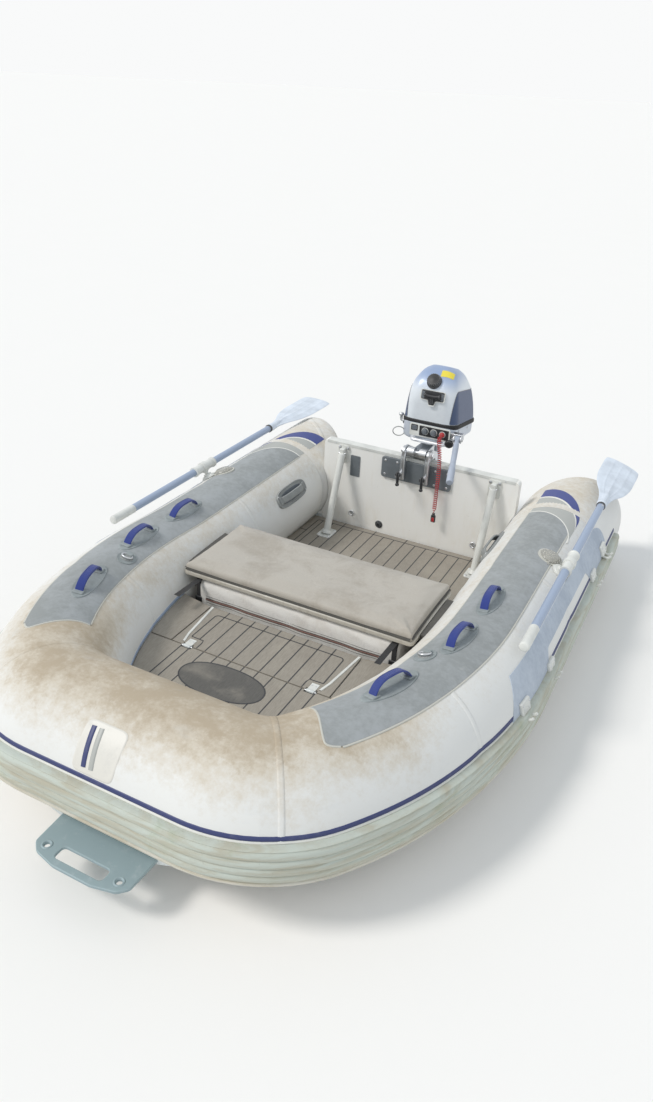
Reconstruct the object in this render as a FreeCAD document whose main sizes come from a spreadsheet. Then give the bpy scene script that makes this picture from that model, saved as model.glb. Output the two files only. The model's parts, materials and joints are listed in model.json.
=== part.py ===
import FreeCAD, Part
import math
import os
import re

# Small inflatable boat with a rigid hull and an outboard motor, afloat.
# Frame: origin on the centreline at the waterline, +X port, +Y aft, +Z up. Lengths are in mm.

Vector = FreeCAD.Vector
doc = FreeCAD.newDocument("InflatableBoat")
sheet = doc.addObject("Spreadsheet::Sheet", "Sizes")

# Driving dimensions: cell name, value.
drivingSizes = (
    # inflated tubes
    ("tubeRadius", 210), ("tubeSpacing", 645), ("tubeAxisHeight", 185), ("tubeSternEnd", 1215),
    ("domeRadius", 435), ("bendAftEnd", -40), ("bendRadius", 3000),
    ("bowTilt", 4), ("quarterRadius", 1800), ("quarterTurn", 16), ("shoulderRadius", 1100),
    ("shoulderTurn", 18), ("cornerRadius", 225), ("conePlug", 700), ("seatingGap", 0.3),
    # rubbing strake
    ("strakeHalfHeight", 52), ("strakeDepth", 24), ("strakeDrop", 6), ("strakeAftEnd", 960),
    ("strakeGroove", 4),
    # patches on the tubes
    ("patchThickness", 1.6), ("patchAftEnd", 560), ("patchInnerAngle", 120), ("patchOuterAngle", 68),
    ("patchFrontTurn", 15.5), ("patchFrontSlant", 16),
    # handles
    ("handleSpan", 150), ("handleRise", 34), ("handleBand", 5), ("handleWidth", 28),
    ("handleFoot", 46), ("carryAft", 561), ("carryLength", 243),
    ("carryAngle", 152), ("carryWidth", 62), ("carryDepth", 26),
    # rigid hull
    ("transomInner", 746), ("transomThickness", 40), ("transomTop", 440), ("transomHalfWidth", 460),
    ("deckHeight", 30), ("keelAft", -90), ("keelMid", -105), ("matThickness", 12),
    ("stemAhead", 175.7), ("foredeckBehind", 54.3),
    # towing plate, ahead of the tube line's front
    ("bowPlateAhead", 319.7), ("bowPlateHalfWidth", 160), ("bowPlateBottom", 112),
    ("bowPlateThickness", 10), ("towHoleAhead", 275.7), ("towHoleSpacing", 118), ("towHoleRadius", 8),
    ("towSlotAhead", 277.7), ("towSlotHalfLength", 78), ("towSlotWidth", 40),
    # bow locker
    ("lockerAft", -420), ("lockerTop", 227), ("lockerHalfWidth", 300), ("lockerWall", 6),
    ("lidHinge", -655), ("lidGap", 5), ("topMat", 8), ("hingeX", 232),
    # seat
    ("seatForward", -372), ("seatAft", 0), ("seatTop", 342), ("seatSideRoom", 14.3),
    ("cushionThickness", 32), ("benchThickness", 18), ("bagBottom", 100), ("bagSideRoom", 50),
    # motor
    ("tiltAxisY", 735), ("tiltAxisZ", 478), ("steerAxisY", 870), ("cowlFront", 815),
    ("cowlLength", 325), ("cowlWidth", 250), ("cowlBottom", 593), ("cowlTop", 815),
    ("cowlSlope", 9), ("cowlTopSlope", 18), ("cowlWall", 4), ("panBottom", 506), ("panSlope", 5),
    ("propAxisZ", -200), ("propRadius", 95), ("propFace", 1000), ("steerShaft", 14), ("hubRadius", 21),
    # oars
    ("oarAngle", 56.25), ("oarStandoff", 51), ("oarFront", -340), ("oarLength", 1640),
    ("oarShaft", 15), ("rowlockY", 250), ("bladeLength", 510), ("bladeWidth", 164),
)

for row, (cell, number) in enumerate(drivingSizes, start=1):
    sheet.set("A%d" % row, cell)
    sheet.set("B%d" % row, str(number))
    sheet.setAlias("B%d" % row, cell)
doc.recompute()

cellNames = {cell for cell, number in drivingSizes}
pieces = []


def size(cell):
    return float(sheet.get(cell))


def bind(thing, path, text):
    linked = re.sub(r"[A-Za-z]\w*", lambda word: "Sizes." + word.group()
                    if word.group() in cellNames else word.group(), str(text))
    thing.setExpression(path, linked)


def place(thing, x, y, z):
    bind(thing, "Placement.Base.x", x)
    bind(thing, "Placement.Base.y", y)
    bind(thing, "Placement.Base.z", z)


def box(label, low, extent):
    thing = doc.addObject("Part::Box", label)
    for path, text in zip(("Length", "Width", "Height"), extent):
        bind(thing, path, text)
    place(thing, *low)
    return thing


def formed(label, shape):
    thing = doc.addObject("Part::Feature", label)
    thing.Shape = shape
    return thing


def cut(label, base, *tools):
    body = base
    for number, tool in enumerate(tools):
        last = number == len(tools) - 1
        result = doc.addObject("Part::Cut", label if last else "%s_step%d" % (label, number))
        result.Base = body
        result.Tool = tool
        body = result
    return body


def fuse(label, *things):
    result = doc.addObject("Part::MultiFuse", label)
    result.Shapes = list(things)
    return result


def keep(thing, label):
    thing.Label = label
    pieces.append(thing)
    return thing


def mirrored(shape):
    return shape.mirror(Vector(0, 0, 0), Vector(1, 0, 0))


def bothSides(shape):
    return Part.makeCompound([shape, mirrored(shape)])


def flat(points):
    return Part.Face(Part.makePolygon([Vector(*point) for point in points] + [Vector(*points[0])]))


def prism(points, along):
    return flat(points).extrude(Vector(*along))


def rod(start, end, radius):
    start = Vector(*start)
    run = Vector(*end) - start
    return Part.makeCylinder(radius, run.Length, start, run)


def plate(low, high):
    return Part.makeBox(high[0] - low[0], high[1] - low[1], high[2] - low[2], Vector(*low))


def joined(shapes):
    return shapes[0].multiFuse(shapes[1:])


# The tube line, from the stern to the bow on the port side: a straight, a slow bend upwards,
# two arcs that narrow the plan, the corner and half of the straight front.
tubeRadius = size("tubeRadius")
tubeSpacing = size("tubeSpacing")
tubeAxisHeight = size("tubeAxisHeight")
quarterTurn = size("quarterTurn")
shoulderTurn = size("shoulderTurn")
cornerTurn = 90 - quarterTurn - shoulderTurn
cornerRadius = size("cornerRadius")
tubeStart = size("tubeSternEnd") + 20


def frontHalfWidth():
    quarter = math.radians(quarterTurn)
    shoulder = math.radians(quarterTurn + shoulderTurn)
    narrowing = (size("quarterRadius") * (1 - math.cos(quarter))
                 + size("shoulderRadius") * (math.cos(quarter) - math.cos(shoulder))
                 + cornerRadius * math.cos(shoulder))
    return tubeSpacing - narrowing


tubeSegments = (
    # kind, radius, turn in degrees or length in mm
    ("run", 0, tubeStart - size("bendAftEnd")),
    ("rise", size("bendRadius"), size("bowTilt")),
    ("turn", size("quarterRadius"), quarterTurn),
    ("turn", size("shoulderRadius"), shoulderTurn),
    ("turn", cornerRadius, cornerTurn / 2),
    ("turn", cornerRadius, cornerTurn / 2),
    ("run", 0, frontHalfWidth()),
)
frontStraight = len(tubeSegments) - 1
bowCorner = frontStraight - 1
sideCorner = bowCorner - 1
shoulderBend = sideCorner - 1


class Station:
    # A place on the tube line: its point, the way along, the outward side and up.
    def __init__(self, point, along, outward, up):
        self.point = point
        self.along = along
        self.outward = outward
        self.up = up

    def placement(self):
        return FreeCAD.Placement(self.point, FreeCAD.Rotation(self.outward, self.up, self.along, "XYZ"))

    def turned(self, axis, centre, degrees):
        spin = FreeCAD.Rotation(axis, degrees)
        return Station(centre + spin.multVec(self.point - centre), spin.multVec(self.along),
                       spin.multVec(self.outward), spin.multVec(self.up))

    def onSkin(self, angle, radius):
        # angle 0 is outboard, 90 is the crest and 180 is inboard
        radial = self.outward * math.cos(math.radians(angle)) + self.up * math.sin(math.radians(angle))
        return self.point + radial * radius, radial


def follow(station, segment, share=1.0):
    kind, radius, amount = segment
    if kind == "run":
        return Station(station.point + station.along * (amount * share),
                       station.along, station.outward, station.up), None, None
    if kind == "rise":
        axis, centre = station.outward * -1, station.point + station.up * radius
    else:
        axis, centre = station.up * -1, station.point - station.outward * radius
    return station.turned(axis, centre, amount * share), axis, centre


def stationList():
    start = Station(Vector(tubeSpacing, tubeStart, tubeAxisHeight),
                    Vector(0, -1, 0), Vector(1, 0, 0), Vector(0, 0, 1))
    stations = [start]
    for segment in tubeSegments:
        stations.append(follow(stations[-1], segment)[0])
    return stations


stations = stationList()


def swept(profile, first, last, shorten=0):
    # profile is a face in the XY plane, X outwards and Y up; shorten trims the first straight.
    solids = []
    for number in range(first, last + 1):
        station = stations[number]
        kind, radius, amount = tubeSegments[number]
        trim = shorten if number == first else 0
        if trim:
            station = Station(station.point + station.along * trim, station.along,
                              station.outward, station.up)
        face = profile.copy()
        face.Placement = station.placement()
        if kind == "run":
            solids.append(face.extrude(station.along * (amount - trim)))
        else:
            end, axis, centre = follow(station, tubeSegments[number])
            solids.append(face.revolve(centre, axis, amount))
    return solids


def discFace(radius):
    return Part.Face(Part.Wire(Part.Circle(Vector(0, 0, 0), Vector(0, 0, 1), radius).toShape()))


def arcPoint(radius, degrees):
    return Vector(radius * math.cos(math.radians(degrees)), radius * math.sin(math.radians(degrees)), 0)


def bandFace(inner, outer, low, high):
    middle = (low + high) / 2
    return Part.Face(Part.Wire([
        Part.Arc(arcPoint(inner, low), arcPoint(inner, middle), arcPoint(inner, high)).toShape(),
        Part.LineSegment(arcPoint(inner, high), arcPoint(outer, high)).toShape(),
        Part.Arc(arcPoint(outer, high), arcPoint(outer, middle), arcPoint(outer, low)).toShape(),
        Part.LineSegment(arcPoint(outer, low), arcPoint(inner, low)).toShape()]))


def stationAt(y):
    # the station of the port tube line at a distance aft
    for number, segment in enumerate(tubeSegments):
        if stations[number].point.y >= y >= stations[number + 1].point.y:
            low, high = 0.0, 1.0
            for step in range(40):
                middle = (low + high) / 2
                if follow(stations[number], segment, middle)[0].point.y > y:
                    low = middle
                else:
                    high = middle
            return follow(stations[number], segment, low)[0]
    raise ValueError("no station at %s" % y)


def framed(shape, point, along, radial):
    # puts a shape drawn with X along, Z outwards at a point of the tube's skin
    side = radial.cross(along)
    shape = shape.copy()
    shape.Placement = FreeCAD.Placement(point, FreeCAD.Rotation(along, side, radial, "XYZ"))
    return shape


# Tubes
gap = size("seatingGap")
tubeDisc = discFace(tubeRadius)
sideSolids = swept(tubeDisc, 0, sideCorner)
bowSolids = swept(tubeDisc, bowCorner, frontStraight)
clearDisc = discFace(tubeRadius + gap)
clearHalf = swept(clearDisc, 0, frontStraight)
tubeSpace = joined(clearHalf + [mirrored(solid) for solid in clearHalf])
tubeClearance = formed("tubeClearance", tubeSpace)

# The stern end is a dome: a large ball centred on the tube's outboard line rounds it off, so it
# is long outboard and short inboard.
sternEnd = size("tubeSternEnd")
domeRadius = size("domeRadius")
reach = 3 * tubeRadius
domeCentre = Vector(tubeSpacing + tubeRadius, sternEnd - domeRadius, tubeAxisHeight)
dome = Part.makeSphere(domeRadius, domeCentre, Vector(1, 0, 0))
plugY = size("conePlug")
straightSide = sideSolids[0]
endBlock = plate((tubeSpacing - reach, plugY, -reach), (tubeSpacing + reach, sternEnd + reach, reach * 2))
keptDome = joined([dome, plate((tubeSpacing - reach, plugY - 5, -reach),
                               (tubeSpacing + reach, domeCentre.y, reach * 2))])
endPort = straightSide.common(endBlock).common(keptDome).removeSplitter()
sidePort = joined([straightSide.cut(endBlock)] + sideSolids[1:]).removeSplitter()
for side, turnOver in (("port", False), ("starboard", True)):
    keep(formed("tube_side_" + side, mirrored(sidePort) if turnOver else sidePort), "tube_side_" + side)
    keep(formed("tube_end_" + side, mirrored(endPort) if turnOver else endPort), "tube_end_" + side)
bowTube = joined(bowSolids + [mirrored(solid) for solid in bowSolids]).removeSplitter()
keep(formed("tube_bow", bowTube), "tube_bow")

# Rubbing strake: a ribbed rubber band along the widest line of the tubes.
strakeHalf = size("strakeHalfHeight")
strakeDrop = size("strakeDrop")
strakeOuter = tubeRadius + size("strakeDepth")
groove = size("strakeGroove")
strakeTop = strakeHalf - strakeDrop
strakeBottom = -strakeHalf - strakeDrop
bandHeight = strakeTop - strakeBottom


def strakeFace():
    inner = tubeRadius + gap
    foot = lambda level: math.sqrt(inner ** 2 - level ** 2)
    outline = [(foot(strakeTop), strakeTop), (strakeOuter - 10, strakeTop)]
    ribs = 4
    for rib in range(ribs):
        upper = strakeTop - 6 - rib * (bandHeight - 12) / ribs
        lower = upper - (bandHeight - 12) / ribs
        outline += [(strakeOuter, upper - 3), (strakeOuter, lower + 7), (strakeOuter - groove, lower + 3)]
    outline += [(strakeOuter - 10, strakeBottom), (foot(strakeBottom), strakeBottom)]
    edges = [Part.LineSegment(Vector(*start, 0), Vector(*end, 0)).toShape()
             for start, end in zip(outline, outline[1:])]
    edges.append(Part.Arc(Vector(*outline[-1], 0), Vector(inner, 0, 0), Vector(*outline[0], 0)).toShape())
    return Part.Face(Part.Wire(edges))


strakeTrim = tubeStart - size("strakeAftEnd")
strakeSolids = swept(strakeFace(), 0, frontStraight, strakeTrim)
strake = joined(strakeSolids + [mirrored(solid) for solid in strakeSolids]).removeSplitter()
keep(formed("rub_strake", strake), "rub_strake")

# Grey wear patches on the crests of the tubes, with slanted front ends.
patchInner = tubeRadius + gap
patchOuter = patchInner + size("patchThickness")
patchFace = bandFace(patchInner, patchOuter, size("patchOuterAngle"), size("patchInnerAngle"))
patchSolids = swept(patchFace, 0, shoulderBend, tubeStart - size("patchAftEnd"))
patchFront = follow(stations[shoulderBend], tubeSegments[shoulderBend],
                    size("patchFrontTurn") / shoulderTurn)[0]
slant = patchFront.along * (reach * math.tan(math.radians(size("patchFrontSlant"))))
innerFront = patchFront.point - patchFront.outward * reach - slant
outerFront = patchFront.point + patchFront.outward * reach + slant
patchBlock = prism(((innerFront.x, innerFront.y, -reach), (outerFront.x, outerFront.y, -reach),
                    (tubeSpacing * 2, sternEnd, -reach), (innerFront.x, sternEnd, -reach)), (0, 0, 3 * reach))
topPatch = joined(patchSolids).common(patchBlock)
keep(formed("top_patch_port", topPatch), "top_patch_port")
keep(formed("top_patch_starboard", mirrored(topPatch)), "top_patch_starboard")

# Grab handles: an arched band with two feet, three a side.
handleStations = (
    # distance aft, angle on the tube
    (-784, 99), (-427, 97), (-135, 97),
)
handleSpan = size("handleSpan")
handleRise = size("handleRise")
handleBand = size("handleBand")
handleWidth = size("handleWidth")
handleFoot = size("handleFoot")


def handleShape():
    half = handleSpan / 2
    outerTop = Vector(0, 0, handleRise)
    innerTop = Vector(0, 0, handleRise - handleBand)
    inset = half - handleBand * 1.6
    arch = Part.Face(Part.Wire([
        Part.Arc(Vector(-half, 0, 0), outerTop, Vector(half, 0, 0)).toShape(),
        Part.LineSegment(Vector(half, 0, 0), Vector(inset, 0, 0)).toShape(),
        Part.Arc(Vector(inset, 0, 0), innerTop, Vector(-inset, 0, 0)).toShape(),
        Part.LineSegment(Vector(-inset, 0, 0), Vector(-half, 0, 0)).toShape()]))
    arch.translate(Vector(0, -handleWidth / 2, 0))
    band = arch.extrude(Vector(0, handleWidth, 0))
    feet = []
    for way in (-1, 1):
        middle = way * half
        feet.append(plate((middle - handleFoot / 2, -handleFoot / 2, -3),
                          (middle + handleFoot / 2, handleFoot / 2, 4)))
    return joined([band] + feet)


patchSpace = joined(swept(discFace(patchOuter + gap / 3), 0, shoulderBend))
handles = []
for handleY, handleAngle in handleStations:
    station = stationAt(handleY)
    point, radial = station.onSkin(handleAngle, patchOuter)
    handles.append(framed(handleShape(), point, station.along, radial).cut(patchSpace))
keep(formed("grab_handles_port", Part.makeCompound(handles)), "grab_handles_port")
keep(formed("grab_handles_starboard", mirrored(Part.makeCompound(handles))), "grab_handles_starboard")

# Moulded carry handles on the inner sides of the tubes, open through their middle.
carryMiddle = size("carryAft") - size("carryLength") / 2
carryHalf = size("carryLength") / 2
carryWidth = size("carryWidth")
carryDepth = size("carryDepth")
station = stationAt(carryMiddle)
point, radial = station.onSkin(size("carryAngle"), tubeRadius - 1)
carrySolid = joined([
    plate((-carryHalf, -carryWidth / 2, 0), (carryHalf, carryWidth / 2, 5)),
    plate((-carryHalf * 0.7, -14, 4), (-carryHalf * 0.5, 14, carryDepth)),
    plate((carryHalf * 0.5, -14, 4), (carryHalf * 0.7, 14, carryDepth)),
    plate((-carryHalf * 0.7, -14, carryDepth - 8), (carryHalf * 0.7, 14, carryDepth))])
carryPort = framed(carrySolid, point, station.along, radial)
keep(formed("carry_handles", bothSides(carryPort.cut(tubeSpace))), "carry_handles")

# Fittings set on the skin: towing rings and air valves.
fittingRows = (
    # name, distance aft, angle, pad radius, pad height
    ("tow_rings", -575, 108, 28, 5),
    ("air_valves", size("rowlockY") + 42, size("oarAngle") + 14.75, 38, 14),
)
for fitting, fittingY, fittingAngle, padRadius, padHeight in fittingRows:
    station = stationAt(fittingY)
    point, radial = station.onSkin(fittingAngle, patchOuter)
    pad = rod((0, 0, -5), (0, 0, padHeight), padRadius)
    if fitting == "tow_rings":
        ring = Part.makeTorus(17, 3.5)
        ring.translate(Vector(0, 0, padHeight + 3.0))
        pad = joined([pad, ring])
    pad = framed(pad, point, station.along, radial).cut(patchSpace)
    keep(formed(fitting, bothSides(pad)), fitting)

# Hull: a shallow V of aluminium plate, closed by its deck, shaped to the tubes above it.
deckHeight = size("deckHeight")
transomInner = size("transomInner")
transomOuter = transomInner + size("transomThickness")
frontLine = stations[-1].point.y
stem = frontLine - size("stemAhead")
hullSections = (
    # y, keel z, chine x, chine z, edge x, edge z
    (transomOuter, size("keelAft"), 470, -26, 505, deckHeight),
    (-250, size("keelMid"), 465, -24, 508, deckHeight),
    (-700, -84, 400, -2, 455, deckHeight + 4),
    (-1000, -30, 292, 38, 352, 66),
    (stem, 66, 130, 92, 205, 124),
)
wires = []
for hullY, keelZ, chineX, chineZ, edgeX, edgeZ in hullSections:
    wires.append(Part.makePolygon([Vector(0, hullY, keelZ), Vector(chineX, hullY, chineZ),
                                   Vector(edgeX, hullY, edgeZ), Vector(-edgeX, hullY, edgeZ),
                                   Vector(-chineX, hullY, chineZ), Vector(0, hullY, keelZ)]))
hullBlank = formed("hullBlank", Part.makeLoft(wires, True, True))
keel = prism(((-9, transomOuter - 20, size("keelAft") - 10), (-9, -250, size("keelMid") - 14),
              (-9, -700, -96), (-9, -700, -60), (-9, transomOuter - 20, size("keelAft") + 20)), (18, 0, 0))
hullWithKeel = fuse("hullWithKeel", hullBlank, formed("keelBar", keel))
deckSpace = box("deckSpace", ("-tubeSpacing", "lidHinge", "deckHeight"),
                ("2 * tubeSpacing", "transomInner + transomThickness - lidHinge", "tubeSpacing"))
keep(cut("hull_shell", hullWithKeel, tubeClearance, deckSpace), "hull_shell")

# Transom with its motor pads and two braces.
transomBlank = box("transomBlank", ("-transomHalfWidth", "transomInner", "deckHeight"),
                   ("2 * transomHalfWidth", "transomThickness", "transomTop - deckHeight"))
keep(cut("transom", transomBlank, tubeClearance), "transom")
padTop = size("transomTop") - 14
keep(formed("motor_pads", Part.makeCompound([
    plate((-165, transomInner - 11, padTop - 98), (165, transomInner, padTop)),
    plate((-165, transomOuter, padTop - 128), (165, transomOuter + 11, padTop))])), "motor_pads")
braceX = 357
deckTop = deckHeight + size("matThickness")
brace = joined([rod((braceX, transomInner - 22, 398), (braceX, 600, deckTop + 8), 16),
                plate((braceX - 28, transomInner - 5, 350), (braceX + 28, transomInner, 432)),
                plate((braceX - 12, transomInner - 30, 375), (braceX + 12, transomInner - 2, 420)),
                plate((braceX - 34, 555, deckTop), (braceX + 34, 645, deckTop + 10))])
keep(formed("transom_braces", bothSides(brace)), "transom_braces")
eye = joined([plate((290, transomOuter, -10), (330, transomOuter + 5, 60)),
              rod((310, transomOuter, 45), (310, transomOuter + 30, 45), 5),
              rod((310, transomOuter, 5), (310, transomOuter + 30, 5), 5),
              rod((310, transomOuter + 30, 0), (310, transomOuter + 30, 50), 5)])
keep(formed("stern_eyes", bothSides(eye)), "stern_eyes")

# Deck mat between the locker and the transom.
matBlank = box("matBlank", ("-tubeSpacing", "lockerAft + 4", "deckHeight"),
               ("2 * tubeSpacing", "transomInner - 6 - lockerAft - 4", "matThickness"))
keep(cut("deck_mat", matBlank, tubeClearance), "deck_mat")

# Bow locker: walls and fixed foredeck in one folded piece, open under its lid.
wall = size("lockerWall")
lockerAft = size("lockerAft")
lockerTop = size("lockerTop")
lockerHalf = size("lockerHalfWidth")
lidHinge = size("lidHinge")
topMat = size("topMat")
plateTop = lockerTop - topMat
lidGap = size("lidGap")
foredeckFront = frontLine + size("foredeckBehind")
lockerShape = joined([
    plate((-tubeSpacing, lockerAft - wall, deckHeight), (tubeSpacing, lockerAft, plateTop - lidGap - wall)),
    plate((-lockerHalf - wall, lidHinge, deckHeight), (-lockerHalf, lockerAft, plateTop)),
    plate((lockerHalf, lidHinge, deckHeight), (lockerHalf + wall, lockerAft, plateTop)),
    plate((-tubeSpacing, lidHinge - wall, deckHeight + 8), (tubeSpacing, lidHinge, plateTop)),
    plate((-tubeSpacing, foredeckFront, plateTop - wall), (tubeSpacing, lidHinge, plateTop)),
    plate((-tubeSpacing, lidHinge, plateTop - wall), (-lockerHalf, lockerAft, plateTop)),
    plate((lockerHalf, lidHinge, plateTop - wall), (tubeSpacing, lockerAft, plateTop))])
# Two hinges: a pin across a notch in the foredeck, and an eye on the lid that turns on it.
hingeX = size("hingeX")
hingeZ = lockerTop - 1
notchHalf = 20
pinRadius = 2.5
notches = []
pins = []
eyes = []
for middle in (-hingeX, hingeX):
    notches.append(plate((middle - notchHalf, lidHinge - 10, deckHeight),
                         (middle + notchHalf, lidHinge + lidGap + 8, lockerTop + 5)))
    pins.append(rod((middle - notchHalf, lidHinge, hingeZ), (middle + notchHalf, lidHinge, hingeZ),
                    pinRadius))
    eye = joined([rod((middle - 14, lidHinge, hingeZ), (middle + 14, lidHinge, hingeZ), 5.5),
                  plate((middle - 14, lidHinge, plateTop - wall), (middle + 14, lidHinge + lidGap + 6, hingeZ))])
    eyes.append(eye.cut(rod((middle - notchHalf, lidHinge, hingeZ), (middle + notchHalf, lidHinge, hingeZ),
                            pinRadius + 0.08)))
notch = Part.makeCompound(notches)
lockerShape = lockerShape.cut(tubeSpace).cut(hullBlank.Shape).cut(notch)
keep(formed("bow_locker", lockerShape), "bow_locker")
topMats = Part.makeCompound([
    plate((-tubeSpacing, foredeckFront, plateTop),
          (tubeSpacing, lidHinge, lockerTop)).cut(tubeSpace).cut(notch),
    plate((-tubeSpacing, lidHinge + lidGap, plateTop), (-lockerHalf, lockerAft, lockerTop)).cut(tubeSpace),
    plate((lockerHalf, lidHinge + lidGap, plateTop), (tubeSpacing, lockerAft, lockerTop)).cut(tubeSpace)])
keep(formed("foredeck_mat", topMats), "foredeck_mat")
keep(formed("lid_pins", Part.makeCompound(pins)), "lid_pins")
lidSide = lockerHalf - lidGap
lidPlate = plate((-lidSide, lidHinge + lidGap, plateTop - wall), (lidSide, lockerAft + 2, plateTop))
keep(formed("locker_lid", joined([lidPlate] + eyes)), "locker_lid")
lidMat = plate((-lidSide, lidHinge + lidGap, plateTop), (lidSide, lockerAft + 2, lockerTop)).cut(notch)
keep(formed("lid_mat", lidMat), "lid_mat")

# Seat: bench, cushion, hanging bag and the holders that carry the bench on the tubes.
seatForward = size("seatForward")
seatAft = size("seatAft")
seatTop = size("seatTop")
cushionBottom = seatTop - size("cushionThickness")
benchBottom = cushionBottom - size("benchThickness")
# The seat is as wide as the tubes leave room for at its lower edge.
seatHalf = (tubeSpacing - math.sqrt(tubeRadius ** 2 - (benchBottom - tubeAxisHeight) ** 2)
            - size("seatSideRoom"))
seatHalfWidth = ("(tubeSpacing - sqrt(tubeRadius ^ 2 - (seatTop - cushionThickness - benchThickness"
                 " - tubeAxisHeight) ^ 2) - seatSideRoom)")
bagHalfWidth = seatHalfWidth[:-1] + " - bagSideRoom)"
keep(box("seat_bench", ("-" + seatHalfWidth, "seatForward", "seatTop - cushionThickness - benchThickness"),
         ("2 * " + seatHalfWidth, "seatAft - seatForward", "benchThickness")), "seat_bench")
keep(box("seat_cushion", ("-" + seatHalfWidth, "seatForward - 4", "seatTop - cushionThickness"),
         ("2 * " + seatHalfWidth, "seatAft - seatForward + 8", "cushionThickness")), "seat_cushion")
keep(box("seat_bag", ("-" + bagHalfWidth, "seatForward + 6", "bagBottom"),
         ("2 * " + bagHalfWidth, "seatAft - seatForward - 30",
          "seatTop - cushionThickness - benchThickness - bagBottom")), "seat_bag")
holderLow = benchBottom - 22
holder = joined([plate((seatHalf - 34, seatForward + 60, holderLow),
                       (tubeSpacing, seatAft - 60, benchBottom)),
                 plate((seatHalf + 2, seatForward + 60, holderLow),
                       (tubeSpacing, seatAft - 60, benchBottom + 18))]).cut(tubeSpace)
keep(formed("seat_holders", bothSides(holder)), "seat_holders")

# Towing plate under the bow.
plateZ = size("bowPlateBottom")
plateUp = plateZ + size("bowPlateThickness")
plateHalf = size("bowPlateHalfWidth")
plateTip = frontLine - size("bowPlateAhead")
bowOutline = []
for side, order in ((-1, 1), (1, -1)):
    corners = [(side * plateHalf, stem, plateZ), (side * plateHalf * 0.925, plateTip + 36, plateZ),
               (side * plateHalf * 0.775, plateTip + 18, plateZ),
               (side * plateHalf * 0.3875, plateTip, plateZ)]
    bowOutline += corners[::order]
bowPlate = prism(bowOutline, (0, 0, plateUp - plateZ))
holeX = size("towHoleSpacing")
holeY = frontLine - size("towHoleAhead")
for side in (-1, 1):
    bowPlate = bowPlate.cut(rod((side * holeX, holeY, plateZ - 5), (side * holeX, holeY, plateUp + 5),
                                size("towHoleRadius")))
slotHalf = size("towSlotHalfLength")
slotY = frontLine - size("towSlotAhead")
slotReach = size("towSlotWidth") / 2
bowPlate = bowPlate.cut(plate((-slotHalf, slotY - slotReach, plateZ - 5),
                              (slotHalf, slotY + slotReach, plateUp + 5)))
keep(formed("bow_plate", bowPlate.cut(tubeSpace).cut(strake)), "bow_plate")

# Motor bracket: two clamp plates over the transom, the tilt shaft and the clamp screws.
tiltY = size("tiltAxisY")
tiltZ = size("tiltAxisZ")
transomTop = size("transomTop")
padOuter = transomOuter + 11
clampOutline = ((tiltY - 28, 346), (tiltY - 10, 346), (tiltY - 10, transomTop + 6),
                (padOuter + 0.3, transomTop + 6), (padOuter + 0.3, 250), (padOuter + 34, 250),
                (padOuter + 34, tiltZ - 18), (tiltY + 22, tiltZ + 20), (tiltY - 14, tiltZ + 20),
                (tiltY - 28, tiltZ + 8))
clampPlates = []
for low in (-62, 50):
    outline = [(low, y, z) for y, z in clampOutline]
    clampPlates.append(prism(outline, (12, 0, 0)))
tiltShaft = rod((-74, tiltY, tiltZ), (74, tiltY, tiltZ), 9)
clampBack = plate((-55, padOuter + 0.3, 255), (55, padOuter + 14, 300))
keep(formed("clamp_bracket", joined(clampPlates + [tiltShaft, clampBack])), "clamp_bracket")
screws = []
for way in (-1, 1):
    middle = way * 56
    screws.append(joined([
        rod((middle, tiltY - 62, 385), (middle, tiltY - 28, 385), 7),
        rod((middle, tiltY - 72, 385), (middle, tiltY - 62, 385), 12),
        plate((middle - 7, tiltY - 74, 322), (middle + 7, tiltY - 62, 385))]))
keep(formed("clamp_screws", Part.makeCompound(screws)), "clamp_screws")

# Swivel bracket: hangs on the tilt shaft and carries the steering tube.
steerY = size("steerAxisY")
steerShaft = size("steerShaft")
panBottom = size("panBottom")
swivelTop = panBottom - 18
swivel = joined([rod((-44, tiltY, tiltZ), (44, tiltY, tiltZ), 22),
                 plate((-38, tiltY, tiltZ - 30), (38, steerY, tiltZ + 6)),
                 rod((0, steerY, 250), (0, steerY, swivelTop), 28)])
swivel = swivel.cut(rod((-60, tiltY, tiltZ), (60, tiltY, tiltZ), 9 + gap))
swivel = swivel.cut(rod((0, steerY, 200), (0, steerY, swivelTop + 20), steerShaft + gap))
keep(formed("swivel_bracket", swivel), "swivel_bracket")


def finFace(front, back, halfWidth, z):
    middle = front + (back - front) * 0.4
    return Part.Face(Part.Wire([
        Part.Arc(Vector(0, front, z), Vector(halfWidth, middle, z), Vector(0, back, z)).toShape(),
        Part.Arc(Vector(0, back, z), Vector(-halfWidth, middle, z), Vector(0, front, z)).toShape()]))


# Drive leg with the steering shaft, the housing behind it and the lower fairing.
ventPlate = -34
legTop = 244
leg = joined([rod((0, steerY, legTop - 20), (0, steerY, panBottom), steerShaft),
              rod((0, steerY, swivelTop + 3), (0, steerY, panBottom), 34),
              rod((0, steerY, legTop - 30), (0, steerY, legTop), 26),
              finFace(steerY - 22, steerY + 120, 34, ventPlate + 6)
              .extrude(Vector(0, 0, legTop - ventPlate - 6)),
              plate((-30, steerY + 36, legTop - 20), (30, steerY + 112, panBottom))])
propZ = size("propAxisZ")
propFace = size("propFace")
bullet = 32
noseY = steerY - 40
ventOutline = ((-24, steerY - 44, ventPlate), (-70, steerY + 60, ventPlate), (-70, steerY + 190, ventPlate),
               (70, steerY + 190, ventPlate), (70, steerY + 60, ventPlate), (24, steerY - 44, ventPlate))
nose = Part.makeCone(10, bullet, 45, Vector(0, noseY - 45, propZ), Vector(0, 1, 0))
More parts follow.
